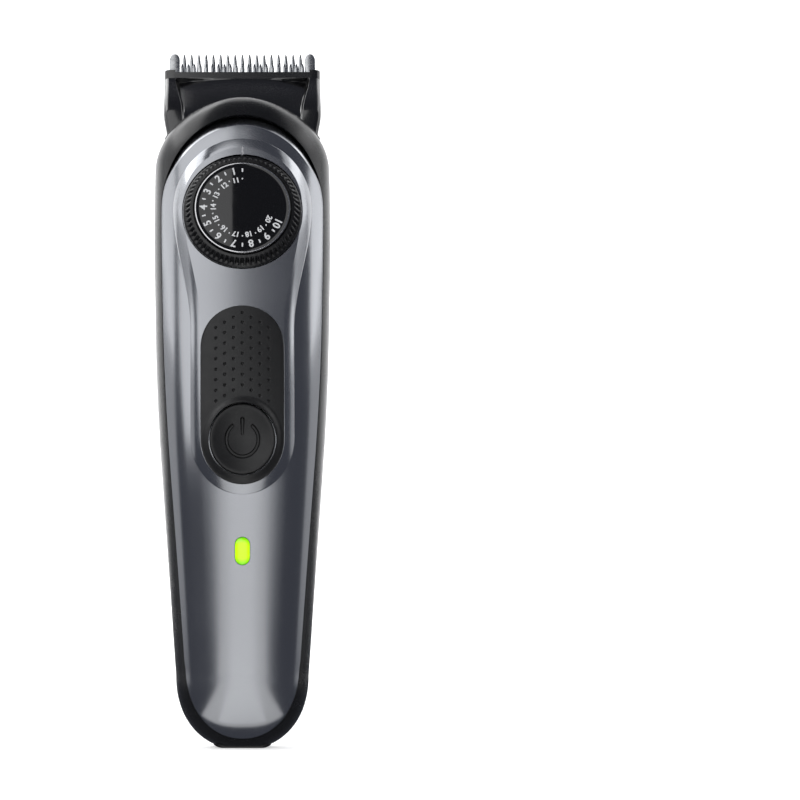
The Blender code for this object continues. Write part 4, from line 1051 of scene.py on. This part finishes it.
def softbox(name, centre, facing, wide, tall, radiance, roll=0.0):
    """A rectangular light at a place, facing a direction; its long sides run level unless rolled."""
    data = bpy.data.lights.new(name, "AREA")
    data.shape = "RECTANGLE"
    data.size = wide
    data.size_y = tall
    data.energy = radiance * pi * wide * tall
    light = bpy.data.objects.new(name, data)
    bpy.context.scene.collection.objects.link(light)
    light.location = centre
    turn = Vector(facing).normalized().to_track_quat("-Z", "Y").to_matrix().to_4x4()
    light.rotation_euler = (turn @ Matrix.Rotation(roll, 4, "Z")).to_euler()
    return light


def around(azimuth, elevation, distance, target=AIM):
    """Place at these angles from the target, and the direction back to it; azimuth 0 is in front."""
    a, e = radians(azimuth), radians(elevation)
    out = Vector((sin(a) * cos(e), -cos(a) * cos(e), sin(e)))
    return target + out * distance, -out


def stage_plane(name, corners, colour, glow):
    mesh = bpy.data.meshes.new(name)
    mesh.from_pydata(corners, [], [(0, 1, 2, 3)])
    made = material(name, colour, 0.7)
    shader = made.node_tree.nodes["Principled BSDF"]
    shader.inputs["Emission Color"].default_value = (1.0, 1.0, 1.0, 1.0)
    shader.inputs["Emission Strength"].default_value = glow
    mesh.materials.append(made)
    plane = bpy.data.objects.new(name, mesh)
    bpy.context.scene.collection.objects.link(plane)
    return plane


# name, distance, width and radiance of the soft band's nested panels, in metres
FRONT_BANDS = (
    ("front", 1.3, 0.36, 0.36),
    ("front_soft", 1.35, 0.66, 0.3),
    ("front_wide", 1.4, 1.05, 0.26),
    ("front_edge", 1.45, 1.6, 0.14),
)
# name, y of the near end, half width at the near and the far end (metres), and tone of the strips on the floor
# that show only as reflections in the cover's low end
FLOOR_RUNNERS = (("runner", -0.026, 0.009, 0.07, 0.6), ("runner_wide", -0.024, 0.02, 0.2, 0.3))


def build_stage():
    world = bpy.data.worlds.new("studio")
    world.use_nodes = True
    world.node_tree.nodes["Background"].inputs["Color"].default_value = (0.085, 0.09, 0.11, 1.0)
    bpy.context.scene.world = world
    reach = 3.0
    corners = [(-reach, -reach, 0), (reach, -reach, 0), (reach, reach, 0), (-reach, reach, 0)]
    floor = stage_plane("floor", corners, (0.8,) * 3, 0.5)
    floor.visible_glossy = False
    for level, (name, near, slim, wide, tone) in enumerate(reversed(FLOOR_RUNNERS)):
        corners = ((-wide, -0.9), (wide, -0.9), (slim, near), (-slim, near))
        runner = stage_plane(name, [(x, y, 0.0001 * (level + 1)) for x, y in corners], (tone,) * 3, 0.5)
        runner.visible_camera = False
    stage_plane(
        "backdrop",
        [(-reach, 1.3, -0.01), (reach, 1.3, -0.01), (reach, 1.3, 3.0), (-reach, 1.3, 3.0)],
        (0.9,) * 3,
        0.9,
    )
    dial = neck(0.0, -17.9, DIAL_T) * MM
    centre, facing = around(0.0, 30.0, 1.15, dial)
    wide = 1.7
    softbox("key_left", centre - Vector((wide / 2 + 0.03, 0.0, 0.0)), facing, wide, 1.15, 1.15)
    for name, distance, wide, bright in FRONT_BANDS:
        centre, facing = around(1.0, 3.0, distance)
        softbox(name, centre, facing, wide, 0.62, bright)
    for side, name, bright in ((-1, "left", 1.15), (1, "right", 1.35)):
        centre, facing = around(side * 92.0, 34.0, 0.9)
        softbox("wall_" + name, centre, facing, 0.6, 0.6, bright)
        centre, facing = around(side * 92.0, 4.0, 0.95)
        softbox("low_" + name, centre, facing, 0.6, 0.5, 0.45)
    softbox("over_left", (-0.95, 0.3, 1.3), (0.0, 0.0, -1.0), 1.1, 1.6, 2.2, radians(-18.0))
    softbox("over_right", (1.05, 0.3, 1.3), (0.0, 0.0, -1.0), 1.1, 1.6, 0.7, radians(18.0))
    settings = bpy.context.scene.view_settings
    settings.view_transform = "Standard"
    settings.look = "None"


def main():
    add_camera()
    look = {
        "silver": silver_lacquer(),
        "satin": satin_black(),
        "gloss": gloss_black(),
        "head": head_black(),
        "soft": soft_black(),
        "pad": soft_black("pad_black", 0.007),
        "button": soft_black("button_black", 0.006),
        "knurl": plain_plastic("knurl_black", (0.004, 0.004, 0.0045), 0.3),
        "steel": ground_steel(),
        "bright": plain_metal("bright_rim", (0.7, 0.7, 0.71), 0.16),
        "print": print_white(),
        "light": lit_lens(),
    }
    finish_frame(look)
    build_casing(look)
    build_controls(look)
    build_dial(look)
    build_head(look)
    build_stage()


main()
